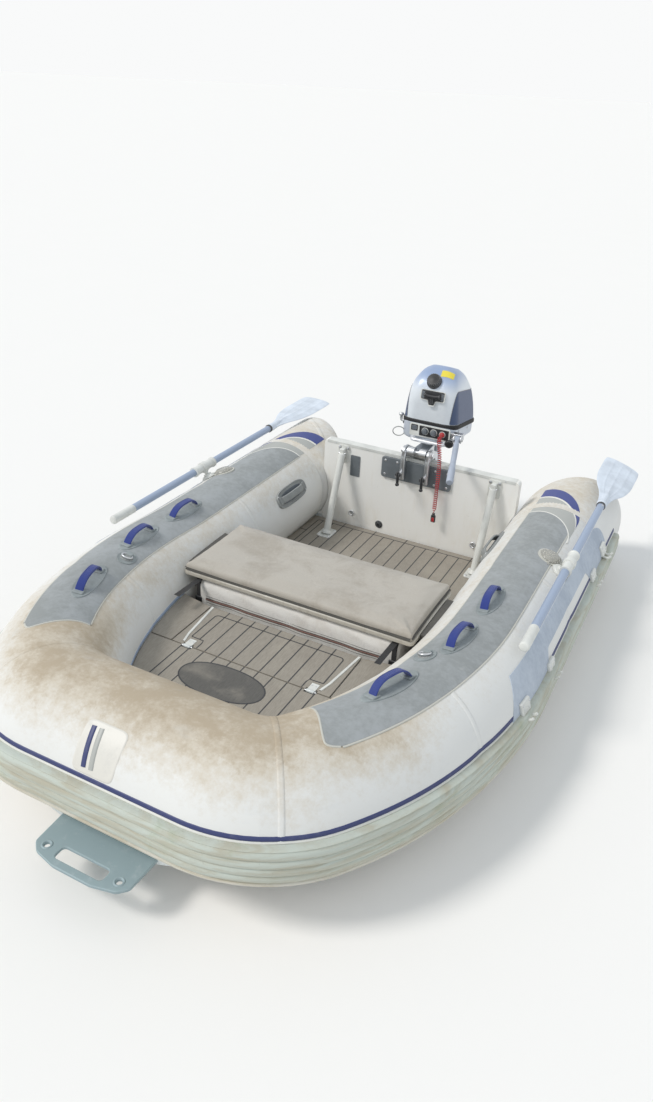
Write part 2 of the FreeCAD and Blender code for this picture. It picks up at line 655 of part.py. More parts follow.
gearcase = joined([
    prism(ventOutline, (0, 0, 6)),
    finFace(steerY - 20, steerY + 108, 20, propZ).extrude(Vector(0, 0, ventPlate - propZ)),
    rod((0, noseY, propZ), (0, propFace - 25, propZ), bullet),
    Part.makeCone(bullet, size("hubRadius") + 3, 24, Vector(0, propFace - 25, propZ), Vector(0, 1, 0)),
    nose,
    rod((0, propFace - 25, propZ), (0, propFace + 50, propZ), 7),
    prism(((-4, steerY + 6, propZ), (-4, steerY + 40, propZ - 128), (-4, steerY + 92, propZ - 128),
           (-4, steerY + 112, propZ)), (8, 0, 0))])
keep(formed("gearcase", gearcase), "gearcase")

# Propeller: a hub and three blades set at their pitch.
propRadius = size("propRadius")
hubRadius = size("hubRadius")
bladeMiddle = (hubRadius - 6 + propRadius) / 2
bladeReach = (propRadius - hubRadius + 6) / 2
blades = []
for number in range(3):
    blade = Part.Face(Part.Wire(Part.Ellipse(Vector(0, 0, 0), bladeReach, bladeReach * 0.78).toShape()))
    blade = blade.extrude(Vector(0, 0, 4))
    blade.translate(Vector(0, 0, -2))
    blade.rotate(Vector(0, 0, 0), Vector(0, 1, 0), -90)
    blade.rotate(Vector(0, 0, 0), Vector(0, 0, 1), 62)
    blade.translate(Vector(0, propFace + 22, propZ + bladeMiddle))
    blade.rotate(Vector(0, 0, propZ), Vector(0, 1, 0), 120 * number)
    blades.append(blade)
hub = rod((0, propFace + 0.5, propZ), (0, propFace + 56, propZ), hubRadius)
propeller = joined([hub] + blades).cut(rod((0, propFace - 9, propZ), (0, propFace + 50.5, propZ), 7.08))
keep(formed("propeller", propeller), "propeller")


def roundedWire(halfWidth, front, back, corner, z):
    low, high = -halfWidth, halfWidth
    turnPoints = (
        # corner centre x, y, start angle
        (high - corner, back - corner, 0), (low + corner, back - corner, 90),
        (low + corner, front + corner, 180), (high - corner, front + corner, 270))
    arcs = []
    for x, y, begin in turnPoints:
        along = [Vector(x, y, z) + arcPoint(corner, begin + turn) for turn in (0, 45, 90)]
        arcs.append(Part.Arc(*along).toShape())
    edges = []
    for arc, following in zip(arcs, arcs[1:] + arcs[:1]):
        edges += [arc, Part.LineSegment(arc.Vertexes[-1].Point, following.Vertexes[0].Point).toShape()]
    return Part.Wire(edges)


def leaned(ring, frontY, z, slope):
    ring.rotate(Vector(0, frontY, z), Vector(1, 0, 0), -slope)
    return ring


# Cowl: a hollow cover that narrows and falls towards the stern, its shoulder leaning back.
cowlFront = size("cowlFront")
cowlBack = cowlFront + size("cowlLength")
cowlHalf = size("cowlWidth") / 2
cowlBottom = size("cowlBottom")
cowlTop = size("cowlTop")
cowlSlope = size("cowlSlope")
cowlTopSlope = size("cowlTopSlope")
cowlWall = size("cowlWall")
cowlSections = (
    # share of the height, inset at the sides, front and back, corner radius
    (0, 0, 0, 0, 62), (0.5, 12, 3, 2, 60), (0.71, 22, 17, 8, 56), (0.855, 36, 45, 22, 50),
    (0.955, 52, 78, 42, 44), (1, 74, 112, 74, 34),
)


def cowlLoft(inset, lower):
    rings = []
    for share, sideIn, frontIn, backIn, corner in cowlSections:
        height = cowlBottom + share * (cowlTop - lower - cowlBottom)
        ring = roundedWire(cowlHalf - sideIn - inset, cowlFront + frontIn + inset,
                           cowlBack - backIn - inset, corner - inset, height)
        slope = cowlSlope + share * (cowlTopSlope - cowlSlope)
        rings.append(leaned(ring, cowlFront + frontIn, height, slope))
    return Part.makeLoft(rings, True, True)


cowl = cowlLoft(0, 0).cut(cowlLoft(cowlWall, cowlWall))
keep(formed("cowl_cover", cowl), "cowl_cover")
panTop = cowlBottom - 9
sealRing = Part.Face(roundedWire(cowlHalf + 2, cowlFront - 2, cowlBack + 2, 63, panTop))
sealHole = Part.Face(roundedWire(cowlHalf - 8, cowlFront + 8, cowlBack - 8, 54, panTop))
sealFace = leaned(sealRing.cut(sealHole), cowlFront, panTop, cowlSlope)
keep(formed("cowl_seal", sealFace.extrude(Vector(0, 0, 9))), "cowl_seal")
panRings = []
for height, slope in ((panBottom, size("panSlope")), (panTop, cowlSlope)):
    ring = roundedWire(cowlHalf - 3, cowlFront - 8, cowlBack - 3, 58, height)
    panRings.append(leaned(ring, cowlFront, height, slope))
pan = Part.makeLoft(panRings, True, True)
keep(formed("drive_leg", leg.cut(pan)), "drive_leg")
barY = cowlFront - 26
barZ = panBottom + 8
pan = joined([pan, rod((-62, barY, barZ), (100, barY, barZ), 7),
              plate((-62, barY, barZ - 6), (-50, cowlFront, barZ + 6)),
              plate((88, barY, barZ - 6), (100, cowlFront, barZ + 6))])
keep(formed("lower_pan", pan), "lower_pan")
panel = plate((-70, cowlFront - 14, panBottom + 20), (112, cowlFront - 4, panTop - 2))
knobZ = panBottom + 50
knobs = [rod((x, cowlFront - 14 - depth, knobZ), (x, cowlFront - 14, knobZ), radius)
         for x, depth, radius in ((0, 12, 13), (40, 12, 13), (80, 9, 11))]
keep(formed("control_panel", joined([panel] + knobs).cut(pan)), "control_panel")
engineBlock = plate((-78, cowlFront + 80, panBottom + 50), (78, cowlBack - 90, cowlTop - 90))
keep(formed("engine_block", engineBlock.cut(pan)), "engine_block")
capLean = math.radians(45)
capPoint = Vector(4, cowlFront + 39, cowlTop - 55)
capAxis = Vector(0, -math.sin(capLean), math.cos(capLean))
fuelCap = Part.makeCylinder(29, 37, capPoint, capAxis).cut(cowlLoft(0, 0))
keep(formed("fuel_cap", fuelCap), "fuel_cap")
gripZ = cowlTop - 102
starter = joined([plate((-18, cowlFront - 9, gripZ - 8), (50, cowlFront + 12, gripZ + 10)),
                  plate((8, cowlFront - 4, gripZ - 6), (24, cowlFront + 40, gripZ + 6))])
keep(formed("starter_grip", starter.cut(cowlLoft(0, 0))), "starter_grip")
latchEnd = Vector(-cowlHalf - 12, cowlFront + 40, panTop - 20)
latch = joined([rod(latchEnd, latchEnd + Vector(32, 0, 0), 8),
                rod(latchEnd, latchEnd + Vector(0, 0, 34), 8)])
keep(formed("shift_lever", latch.cut(pan).cut(cowlLoft(-3, -3))), "shift_lever")

# Tiller: a bracket on the pan and an arm that points forward, a little down and to port.
tillerPivot = Vector(150, cowlFront - 15, knobZ - 5)
tillerWay = Vector(68, -250, -75)
tillerWay.normalize()
tillerAxis = Vector(-tillerWay.y, tillerWay.x, 0)
tillerAxis.normalize()
cheek = Part.makeCylinder(17, 9, tillerPivot + tillerAxis * 10.4, tillerAxis)
bracketArm = plate((cowlHalf - 24, cowlFront + 4, tillerPivot.z - 15),
                   (cowlHalf + 42, cowlFront + 34, tillerPivot.z + 15))
bracketPin = Part.makeCylinder(6, 20.8, tillerPivot - tillerAxis * 10.4, tillerAxis)
bracketWeb = rod(tillerPivot + tillerAxis * 18, (cowlHalf + 33, cowlFront + 20, tillerPivot.z), 7)
cheekIn = Part.makeCylinder(17, 9, tillerPivot - tillerAxis * 19.4, tillerAxis)
bracketWebIn = rod(tillerPivot - tillerAxis * 18, (cowlHalf - 5, cowlFront + 20, tillerPivot.z), 7)
tillerBracket = joined([cheek, cheekIn, bracketArm, bracketPin, bracketWeb, bracketWebIn])
keep(formed("tiller_bracket", tillerBracket.cut(pan).cut(cowlLoft(-3, -3))), "tiller_bracket")
armEnd = tillerPivot + tillerWay * 195
gripEnd = tillerPivot + tillerWay * 292
arm = joined([Part.makeCylinder(15, 20, tillerPivot - tillerAxis * 10, tillerAxis),
              rod(tillerPivot, armEnd, 9.8),
              rod(tillerPivot + tillerWay * 30, armEnd, 12)])
arm = arm.cut(Part.makeCylinder(6 + gap, 40, tillerPivot - tillerAxis * 20, tillerAxis))
keep(formed("tiller_arm", arm), "tiller_arm")
keep(formed("tiller_grip", rod(armEnd, gripEnd, 15)), "tiller_grip")

# Oars along the tubes, each on its rowlock.
lean = math.radians(size("oarAngle"))
oarReach = tubeRadius + size("oarStandoff")
oarX = tubeSpacing + oarReach * math.cos(lean)
oarHeight = tubeAxisHeight + oarReach * math.sin(lean)
oarFront = size("oarFront")
oarShaft = size("oarShaft")
rowlockY = size("rowlockY")
oarEnd = oarFront + size("oarLength")
bladeLength = size("bladeLength")
bladeWidth = size("bladeWidth")
bladeNeck = oarEnd - bladeLength
radial = Vector(math.cos(lean), 0, math.sin(lean))
oarPoint = Vector(oarX, rowlockY, oarHeight)
lockFoot = oarPoint - radial * size("oarStandoff")
shaft = joined([rod((oarX, oarFront + 120, oarHeight), (oarX, bladeNeck + 40, oarHeight), oarShaft),
                rod((oarX, rowlockY - 70, oarHeight), (oarX, rowlockY + 70, oarHeight), oarShaft + 4)])
pinBottom = lockFoot + radial * 18
lockBase = Part.makeCylinder(30, 16.4, lockFoot + radial * 1.2, radial)
lockPin = Part.makeCylinder(8, math.dist(lockFoot, oarPoint) - oarShaft, pinBottom, radial)
lockEye = Part.makeCylinder(oarShaft + 8, 30, oarPoint + Vector(0, -15, 0), Vector(0, 1, 0))
shaft = joined([shaft, lockEye, lockPin])
collar = lockBase.cut(Part.makeCylinder(8.1, 40, lockFoot + radial * 4, radial))
grip = rod((oarX, oarFront, oarHeight), (oarX, oarFront + 120, oarHeight), oarShaft + 2)
bladeOutline = (
    # share of the blade's length, share of its width
    (0, 0.26), (0.2, 0.4), (0.38, 0.78), (0.55, 0.96), (0.97, 1), (1, 0.94),
)


def oarBlade(turn):
    facing = Vector(math.cos(turn), 0, math.sin(turn))
    across = Vector(-math.sin(turn), 0, math.cos(turn))
    points = [Vector(0, bladeNeck + share * bladeLength, 0) + across * (width * bladeWidth / 2)
              for share, width in bladeOutline]
    points += [Vector(0, bladeNeck + share * bladeLength, 0) - across * (width * bladeWidth / 2)
               for share, width in reversed(bladeOutline)]
    points = [point + Vector(oarX, 0, oarHeight) - facing * 3 for point in points]
    flat = Part.Face(Part.makePolygon(points + [points[0]])).extrude(facing * 6)
    neck = rod((oarX, bladeNeck, oarHeight), (oarX, bladeNeck + 180, oarHeight), oarShaft + 3)
    return joined([flat, neck]).cut(rod((oarX, bladeNeck - 5, oarHeight), (oarX, bladeNeck + 40, oarHeight), oarShaft))


bladeTurns = (
    # side, mirrored, upward turn of the blade's face in degrees
    ("port", False, 70), ("starboard", True, 90),
)
for side, turnOver, turn in bladeTurns:
    for part, shape in (("shaft", shaft), ("grip", grip), ("blade", oarBlade(math.radians(turn)))):
        label = "oar_%s_%s" % (side, part)
        keep(formed(label, mirrored(shape) if turnOver else shape), label)
keep(formed("rowlock_bases", bothSides(collar)), "rowlock_bases")

# Oar rests: moulded pads on the outer sides with open clips.
restRows = (
    # distance aft of the pad's middle, half length
    (-330, 110), (690, 60),
)
rests = []
for restY, restHalf in restRows:
    station = stationAt(restY)
    pad = bandFace(tubeRadius + gap, tubeRadius + 5, 15, 48)
    pad.Placement = Station(station.point - station.along * restHalf, station.along,
                            station.outward, station.up).placement()
    pad = pad.extrude(station.along * (2 * restHalf))
    rests.append(pad)
keep(formed("oar_rests", bothSides(Part.makeCompound(rests))), "oar_rests")

# Stop cord: the outer shape of a curly cord, hanging from the panel.
lanyardTop = Vector(80, cowlFront - 23, knobZ)
lanyardPoints = (lanyardTop, lanyardTop + Vector(0, -24, 0), Vector(92, 740, 532), Vector(106, 724, 490),
                 Vector(113, 715, 405), Vector(112, 711, 305), Vector(112, 711, 222))


def cordTube(points, radius):
    solids = []
    for start, end in zip(points, points[1:]):
        solids.append(rod(start, end, radius))
    for point in points[1:-1]:
        solids.append(Part.makeSphere(radius, point))
    return joined(solids)


keep(formed("stop_lanyard", cordTube(lanyardPoints, 9)), "stop_lanyard")
clipTop = lanyardPoints[-1]
keep(formed("lanyard_clip", plate((clipTop.x - 11, clipTop.y - 5, clipTop.z - 42),
                                  (clipTop.x + 11, clipTop.y + 5, clipTop.z))), "lanyard_clip")

doc.recompute()
for thing in doc.Objects:
    if "Invalid" in thing.State or "Error" in thing.State:
        raise RuntimeError("%s failed: %s" % (thing.Label, thing.State))
os.makedirs("parts", exist_ok=True)
for piece in pieces:
    if piece.Shape.isNull() or not piece.Shape.isValid() or not piece.Shape.Solids:
        raise RuntimeError("%s has no valid solid" % piece.Label)
    piece.Shape.exportStep("parts/%s.step" % piece.Label)
print(len(pieces), "pieces written")
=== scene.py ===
import bmesh
import bpy
import json
import math
import numpy as np
from mathutils import Euler, Matrix, Vector
from mathutils.bvhtree import BVHTree

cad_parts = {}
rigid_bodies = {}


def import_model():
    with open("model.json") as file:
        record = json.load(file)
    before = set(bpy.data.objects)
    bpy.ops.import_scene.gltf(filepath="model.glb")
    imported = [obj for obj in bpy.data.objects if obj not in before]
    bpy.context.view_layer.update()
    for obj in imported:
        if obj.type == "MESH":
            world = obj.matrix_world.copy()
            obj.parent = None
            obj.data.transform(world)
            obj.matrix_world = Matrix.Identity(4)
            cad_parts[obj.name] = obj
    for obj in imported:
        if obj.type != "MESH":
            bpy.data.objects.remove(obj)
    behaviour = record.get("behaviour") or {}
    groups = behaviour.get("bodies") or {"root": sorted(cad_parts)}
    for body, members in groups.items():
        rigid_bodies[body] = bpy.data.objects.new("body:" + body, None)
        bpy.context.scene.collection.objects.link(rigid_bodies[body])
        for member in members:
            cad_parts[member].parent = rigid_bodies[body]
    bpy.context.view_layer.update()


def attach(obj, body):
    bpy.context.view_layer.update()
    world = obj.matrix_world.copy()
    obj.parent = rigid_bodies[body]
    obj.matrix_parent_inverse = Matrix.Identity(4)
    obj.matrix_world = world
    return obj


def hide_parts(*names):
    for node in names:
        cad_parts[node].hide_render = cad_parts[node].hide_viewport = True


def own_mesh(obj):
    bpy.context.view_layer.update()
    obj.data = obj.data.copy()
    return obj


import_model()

# An inflatable boat with a rigid hull, afloat. +X is port, +Y is aft, +Z is up. Places on the tubes and rows of
# points are in metres. The solids that a Form is given are in millimetres.


class Look(dict):
    # the settings of a piece, read as look.name
    __getattr__ = dict.__getitem__


view = Look(place=(1.1577, -2.4642, 1.8679), yaw=26.246, pitch=29.338, roll=2.629, lens=27.23, furthest=900)
daylight = Look(sun=1.7, softness=14, lean=44, round=-50, sky=0.77, skyColour=(0.86, 0.93, 1.0),
                sunColour=(1.0, 0.975, 0.94))
water = Look(reach=400, colour=(0.895, 0.870, 0.835), horizon=(0.947, 0.954, 0.955))


class Value:
    # a number in a material; sums and products of values add Math nodes
    def __init__(self, finish, socket):
        self.finish, self.socket = finish, socket

    def __add__(self, other):
        return self.finish.sum("ADD", self, other)

    def __sub__(self, other):
        return self.finish.sum("SUBTRACT", self, other)

    def __mul__(self, other):
        return self.finish.sum("MULTIPLY", self, other)

    def __truediv__(self, other):
        return self.finish.sum("DIVIDE", self, other)


def linear(levels):
    # a colour as it looks on a screen, 0 to 255, as Blender wants it; one that is linear already stays as it is
    if max(levels) <= 1:
        return tuple(levels)
    shares = [level / 255 for level in levels]
    return tuple(s / 12.92 if s <= 0.04045 else ((s + 0.055) / 1.055) ** 2.4 for s in shares)


class Finish:
    # one material: node() adds any node, sum() a Math node, lay() a colour over the last one, and paint() ends it
    def __init__(self, name, colour):
        self.material = bpy.data.materials.new(name)
        self.material.use_nodes = True
        self.tree = self.material.node_tree
        self.shader = self.tree.nodes["Principled BSDF"]
        self.tone = linear(colour)

    def link(self, value, socket):
        if isinstance(value, Value):
            self.tree.links.new(value.socket, socket)
        elif socket.type == "RGBA":
            socket.default_value = (*linear(value), 1)
        else:
            socket.default_value = value

    def node(self, kind, settings=None, inputs=None, output="Fac"):
        made = self.tree.nodes.new("ShaderNode" + kind)
        for name, setting in (settings or {}).items():
            setattr(made, name, setting)
        for name, value in (inputs or {}).items():
            self.link(value, made.inputs[name])
        return Value(self, made.outputs[output])

    def sum(self, operation, first, second):
        return self.node("Math", {"operation": operation}, {0: first, 1: second}, 0)

    def place(self):
        return self.node("TexCoord", output="Object")

    def moved(self, *stretch):
        return self.node("Mapping", None, {"Vector": self.place(), "Scale": stretch}, 0)

    def part(self, axis):
        return self.node("SeparateXYZ", None, {0: self.place()}, axis)

    def noise(self, scale, detail=4, rough=0.6, where=None, warp=0):
        return self.node("TexNoise", None, {"Vector": where or self.place(), "Scale": scale, "Detail": detail,
                                            "Roughness": rough, "Distortion": warp})

    def between(self, value, low, high, start=0, end=1):
        # start up to low, end from high on, and a soft step between them
        return self.node("MapRange", {"interpolation_type": "SMOOTHSTEP"},
                         {"Value": value, "From Min": low, "From Max": high, "To Min": start, "To Max": end},
                         0)

    def spots(self, low, high, *noise):
        return self.between(self.noise(*noise), low, high)

    def lay(self, share, colour):
        self.tone = self.node("Mix", {"data_type": "RGBA"}, {0: share, 6: self.tone, 7: colour}, 2)

    def edges(self, width=0.004):
        # 1 on outer edges, where things rub
        bevel = self.node("Bevel", {"samples": 4}, {"Radius": width}, 0)
        normal = self.node("NewGeometry", output="Normal")
        same = self.node("VectorMath", {"operation": "DOT_PRODUCT"}, {0: bevel, 1: normal}, "Value")
        return self.between(same, 0.93, 0.995, 1, 0)

    def paint(self, rough, *bumps, metal=0, **fixed):
        # bumps holds (height value, strength, depth in metres)
        for value, name in ((self.tone, "Base Color"), (rough, "Roughness"), (metal, "Metallic")):
            self.link(value, self.shader.inputs[name])
        above = {}
        for height, strength, depth in bumps:
            above = {"Normal": self.node("Bump", None, {"Height": height, "Strength": strength,
                                                        "Distance": depth, **above}, 0)}
        for name, normal in above.items():
            self.link(normal, self.shader.inputs[name])
        for name, value in fixed.items():
            self.shader.inputs[name.replace("_", " ")].default_value = value
        return self.material


def toward(colour, goal, share):
    return tuple(level + (goal - level) * share for level in linear(colour))


def makeTubeSkin():
    # off-white coated fabric: beige on the crest, most of it at the bow, with brown spots; the beige is partly
    # grime and partly painted warm sunlight
    skin = Finish("tubeSkin", (226, 225, 221))
    angle = skin.node("Attribute", {"attribute_name": "tubeAngle"})
    inward = skin.between(angle, 128, 176, 1, 0)
    crest = skin.between(angle, 28, 88) * inward
    bow = skin.between(skin.part("Y"), -0.98, -0.62, 1, 0)
    broad = skin.noise(3.1, 5, 0.62, None, 0.5)
    fine = skin.noise(34, 5, 0.7)
    # grime and painted warm sunlight together: the crest's beige is partly each, and the next term, on the bow's
    # forward-facing side, is painted warm sunlight
    grime = crest * (bow * 0.32 + 0.44 + skin.between(skin.part("Y"), 0.45, 0.95) * 0.22)
    grime += skin.between(angle, 4, 46) * inward * bow * 0.34
    grime += (broad - 0.5) * 1.1 + (fine - 0.5) * 0.8 + (skin.noise(78, 4, 0.75) - 0.5) * 0.5
    soiledAndSunTone = skin.between(grime, 0.12, 0.92)
    # lays the beige of grime and of painted warm sunlight
    skin.lay(soiledAndSunTone * 0.86, (203, 191, 171))
    skin.lay(skin.between(grime + (skin.noise(11, 4, 0.7) - 0.5) * 0.9, 0.62, 1.24) * bow * 0.7,
             (166, 148, 122))
    skin.lay(skin.spots(0.6, 0.74, 140, 3, 0.8) * crest * 0.5, (168, 149, 120))
    skin.lay(skin.spots(0.56, 0.8, 9, 4, 0.6, skin.moved(1, 1, 7)) * 0.16, (196, 202, 206))
    skin.lay(skin.between(skin.part("Z"), 0, 0.09, 1, 0) * (broad * 0.4 + 0.35), (160, 158, 132))
    rough = soiledAndSunTone * 0.24 + 0.5 + (fine - 0.5) * 0.12
    return skin.paint(rough, (skin.noise(420, 2, 0.5), 0.25, 0.0006), (skin.noise(7, 2, 0.5), 0.35, 0.004),
                      Specular_IOR_Level=0.42)


def makePatch(name, light, dark, spots=0.35):
    # embossed wear fabric with weather spots
    patch = Finish(name, light)
    fine = patch.noise(60, 4, 0.7)
    patch.lay(patch.between(patch.noise(5.5, 5, 0.65, None, 0.4) + (fine - 0.5) * 0.5, 0.32, 0.7), dark)
    patch.lay(patch.spots(0.6, 0.78, 17, 5, 0.7) * spots, (186, 184, 176))
    emboss = patch.node("TexVoronoi", {"feature": "DISTANCE_TO_EDGE"}, {"Scale": 380}, "Distance")
    return patch.paint(fine * 0.2 + 0.58, (emboss, 0.3, 0.0008), (fine, 0.15, 0.001), Specular_IOR_Level=0.35)


def makeRubber(name, clean, stained, green=0.5):
    # extruded rubber with long streaks of green and brown
    rubber = Finish(name, clean)
    streak = rubber.noise(6, 5, 0.65, rubber.moved(1, 1, 9), 0.6)
    grit = rubber.noise(220, 3, 0.7)
    rubber.lay(rubber.between(streak, 0.36, 0.68), stained)
    rubber.lay(rubber.spots(0.52, 0.75, 9, 4, 0.7) * green, (158, 168, 142))
    rubber.lay(rubber.between(grit, 0.62, 0.76) * 0.4, (120, 112, 92))
    return rubber.paint(grit * 0.2 + 0.56, (grit, 0.3, 0.0006), (streak, 0.2, 0.002))


def makePlastic(name, colour, rough=0.4, wear=0.3, grain=0.2):
    # moulded plastic: a fine grain, faint clouds of tone and chalky edges
    plastic = Finish(name, colour)
    pale = toward(colour, 0.75, 0.6)
    cloud = plastic.noise(14)
    plastic.lay(plastic.between(cloud, 0.3, 0.75), toward(colour, 0, 0.192))
    plastic.lay(plastic.edges() * wear, pale)
    plastic.lay(plastic.spots(0.58, 0.76, 48, 5, 0.75, plastic.moved(1, 6, 1)) * wear * 0.5, pale)
    return plastic.paint(cloud * 0.14 + rough, (plastic.noise(260, 3), grain, 0.0005))


def makeMetal(name, colour, rough=0.32, metal=1, dull=0.35, brush=(1, 1, 1)):
    # bright or painted metal with brushing and dull water spots
    plate = Finish(name, colour)
    pale = toward(colour, 0.8, 0.35)
    lines = plate.noise(90, 3, 0.6, plate.moved(*brush))
    spots = plate.spots(0.52, 0.76, 26, 5, 0.7)
    plate.lay(spots * dull, pale)
    plate.lay(plate.edges(0.003) * 0.35, pale)
    return plate.paint(lines * 0.12 + rough + spots * 0.16, (lines, 0.12, 0.0004), metal=metal)


def makePaintedPlate(name, colour, dirt, amount=0.5):
    # powder-coated plate with runs of grime and small chips
    plate = Finish(name, colour)
    runs = plate.noise(7, 5, 0.65, plate.moved(5, 5, 1), 0.3)
    mask = plate.between(runs * 0.6 + plate.noise(4) * 0.5, 0.5, 0.78)
    plate.lay(mask * amount, dirt)
    plate.lay(plate.spots(0.68, 0.74, 70, 4, 0.8) * 0.5, (138, 134, 124))
    plate.lay(plate.edges(0.005) * 0.35, (190, 188, 180))
    return plate.paint(mask * 0.25 + 0.38, (plate.noise(300, 2, 0.5), 0.18, 0.0004), Coat_Weight=0.15)


def makeFoam(name, colour, dark):
    # brushed foam decking
    foam = Finish(name, colour)
    brushed = foam.noise(120, 4, 0.7, foam.moved(3.5, 0.35, 1))
    foam.lay(foam.between(brushed, 0.3, 0.72) * 0.55, dark)
    foam.lay(foam.spots(0.46, 0.76, 6, 5, 0.6, None, 0.4) * 0.4, (178, 170, 156))
    foam.lay(foam.spots(0.55, 0.75, 2.6, 5, 0.7) * 0.35, (112, 104, 92))
    return foam.paint(0.82, (brushed, 0.45, 0.0012), (foam.noise(520, 2), 0.35, 0.0006),
                      Specular_IOR_Level=0.25)


def makeCanvas(name, colour, dirt, weave=1500, amount=0.5, sheen=0.2):
    # woven cloth: crossed threads with painted shade in the gaps between them, folds and grime
    cloth = Finish(name, colour)
    across, along, upright = (
        cloth.node("TexWave", {"bands_direction": axis}, {"Scale": weave / 10, "Distortion": 0.6,
                                                          "Detail": 1}) for axis in "XYZ")
    threads = (across + along + upright) / 3
    grime = cloth.noise(7, 5, 0.65, None, 0.5) + (cloth.noise(90, 4, 0.7) - 0.5) * 0.3
    cloth.lay(cloth.between(grime, 0.4, 0.74) * amount, dirt)
    # painted shade: the gaps between the threads are darker
    cloth.lay(cloth.between(threads, 0.3, 0.6, 1, 0) * 0.4, toward(colour, 0, 0.28))
    return cloth.paint(0.84, (threads, 0.5, 0.0007), (cloth.noise(13, 3, 0.5, None, 1.2), 0.25, 0.004),
                       Sheen_Roughness=0.5, Sheen_Weight=sheen, Specular_IOR_Level=0.25)


def makeVinyl(name, colour, worn=0.25):
    # printed or welded stripe with faint fading
    vinyl = Finish(name, colour)
    fade = vinyl.spots(0.5, 0.78, 24, 5, 0.7)
    vinyl.lay(fade * worn, (190, 188, 184))
    return vinyl.paint(fade * 0.2 + 0.46, (vinyl.noise(380, 2, 0.5), 0.2, 0.0004))


def makeCowlPaint():
    # pale silver paint with faint clouds and fine flakes; its colour is blended towards blue higher up over the
    # crown
    silver = Finish("cowlPaint", (224, 229, 234))
    cloud = silver.noise(9)
    silver.lay(silver.between(silver.part("Z"), 0.715, 0.8) * 0.85, (126, 150, 190))
    silver.lay(silver.between(cloud, 0.45, 0.75) * 0.2, (178, 184, 192))
    silver.lay(silver.edges(0.003) * 0.3, (236, 238, 240))
    return silver.paint(cloud * 0.12 + 0.3, (silver.noise(240, 3), 0.1, 0.0003), metal=0.2)


def makeClear():
    clear = Finish("clearCap", (222, 222, 216))
    haze = clear.noise(60, 4, 0.7)
    clear.lay(haze, (196, 192, 182))
    return clear.paint(haze * 0.2 + 0.16, (haze, 0.1, 0.0005), Transmission_Weight=0.55, IOR=1.46)


tubeSkin = makeTubeSkin()
patchGrey = makePatch("patchGrey", (164, 167, 168), (146, 149, 148))
handleGrey = makePatch("handleGrey", (158, 164, 164), (138, 144, 144), 0.45)
padAndShadowBlue = makePatch("padAndShadowBlue", (192, 200, 210), (174, 183, 195), 0.25)
strakeRubber = makeRubber("strakeRubber", (192, 198, 188), (178, 174, 156))
strakeLip = makeRubber("strakeLip", (206, 202, 190), (186, 178, 158), 0.2)
patchEdge = makeVinyl("patchEdge", (196, 194, 184), 0.4)
badgeVinyl = makeVinyl("badgeVinyl", (218, 214, 205), 0.3)
navyVinyl = makeVinyl("navyVinyl", (54, 62, 108), 0.12)
arcBlue = makeVinyl("arcBlue", (52, 66, 132), 0.15)
arcGrey = makeVinyl("arcGrey", (172, 173, 168), 0.35)
arcWhite = makeVinyl("arcWhite", (228, 226, 218), 0.2)
edgeTape = makeVinyl("edgeTape", (150, 166, 190), 0.2)
stickerYellow = makeVinyl("stickerYellow", (232, 212, 70))
strapBlue = makeCanvas("strapBlue", (54, 68, 138), (84, 94, 142), 1500, 0.4, 0.25)
seatCloth = makeCanvas("seatCloth", (190, 183, 172), (158, 148, 134), 1100, 0.7)
bagCloth = makeCanvas("bagCloth", (234, 230, 224), (210, 201, 190), 1100, 0.6)
trimCloth = makeCanvas("trimCloth", (82, 80, 76), (104, 100, 92))
blackCloth = makeCanvas("blackCloth", (44, 44, 46), (74, 72, 68), 1500, 0.4)
cordRed = makeCanvas("cordRed", (192, 58, 62), (150, 44, 50))
whitePlastic = makePlastic("whitePlastic", (226, 226, 220), 0.38, 0.15)
greyMoulding = makePlastic("greyMoulding", (150, 152, 150), 0.45, 0.35)
darkMoulding = makePlastic("darkMoulding", (104, 110, 116), 0.5)
blackPlastic = makePlastic("blackPlastic", (38, 39, 42), 0.42, 0.35)
blackRubber = makePlastic("blackRubber", (30, 30, 32), 0.62, 0.4)
padGrey = makePlastic("padGrey", (112, 118, 122), 0.6, 0.3, 0.5)
caulk = makePlastic("caulk", (46, 46, 48), 0.7, 0.1)
zipBrown = makePlastic("zipBrown", (132, 84, 66), 0.5, 0.2)
bladeWhite = makePlastic("bladeWhite", (220, 228, 238), 0.36, 0.12)
stickerRed = makePlastic("stickerRed", (186, 48, 50), 0.4, 0.2)
armGrey = makePlastic("armGrey", (176, 184, 198))
transomPaint = makePaintedPlate("transomPaint", (246, 244, 239), (228, 220, 202), 0.35)
hullPaint = makePaintedPlate("hullPaint", (214, 218, 218), (150, 156, 138), 0.6)
benchWood = makePaintedPlate("benchWood", (196, 190, 178), (150, 140, 120))
deckFoam = makeFoam("deckFoam", (160, 153, 142), (128, 121, 111))
darkFoam = makeFoam("darkFoam", (104, 102, 98), (84, 82, 80))
motorSilver = makeMetal("motorSilver", (196, 202, 212), 0.32, 0.4, 0.25)
barSilver = makeMetal("barSilver", (226, 228, 232), 0.3, 0.5, 0.25)
motorSide = makeMetal("motorSide", (72, 86, 116), 0.34, 0.3, 0.2)
legSilver = makeMetal("legSilver", (168, 174, 182), 0.36, 0.5, 0.45)
bowAlloy = makeMetal("bowAlloy", (150, 168, 172), 0.5, 0.25, 0.6)
alloy = makeMetal("alloy", (205, 208, 212), 0.28, brush=(1, 1, 14))
oarBlue = makeMetal("oarBlue", (160, 174, 196), 0.38, 0.3, 0.25, (14, 1, 14))
cowlPaint = makeCowlPaint()
clearCap = makeClear()
print("materials made")


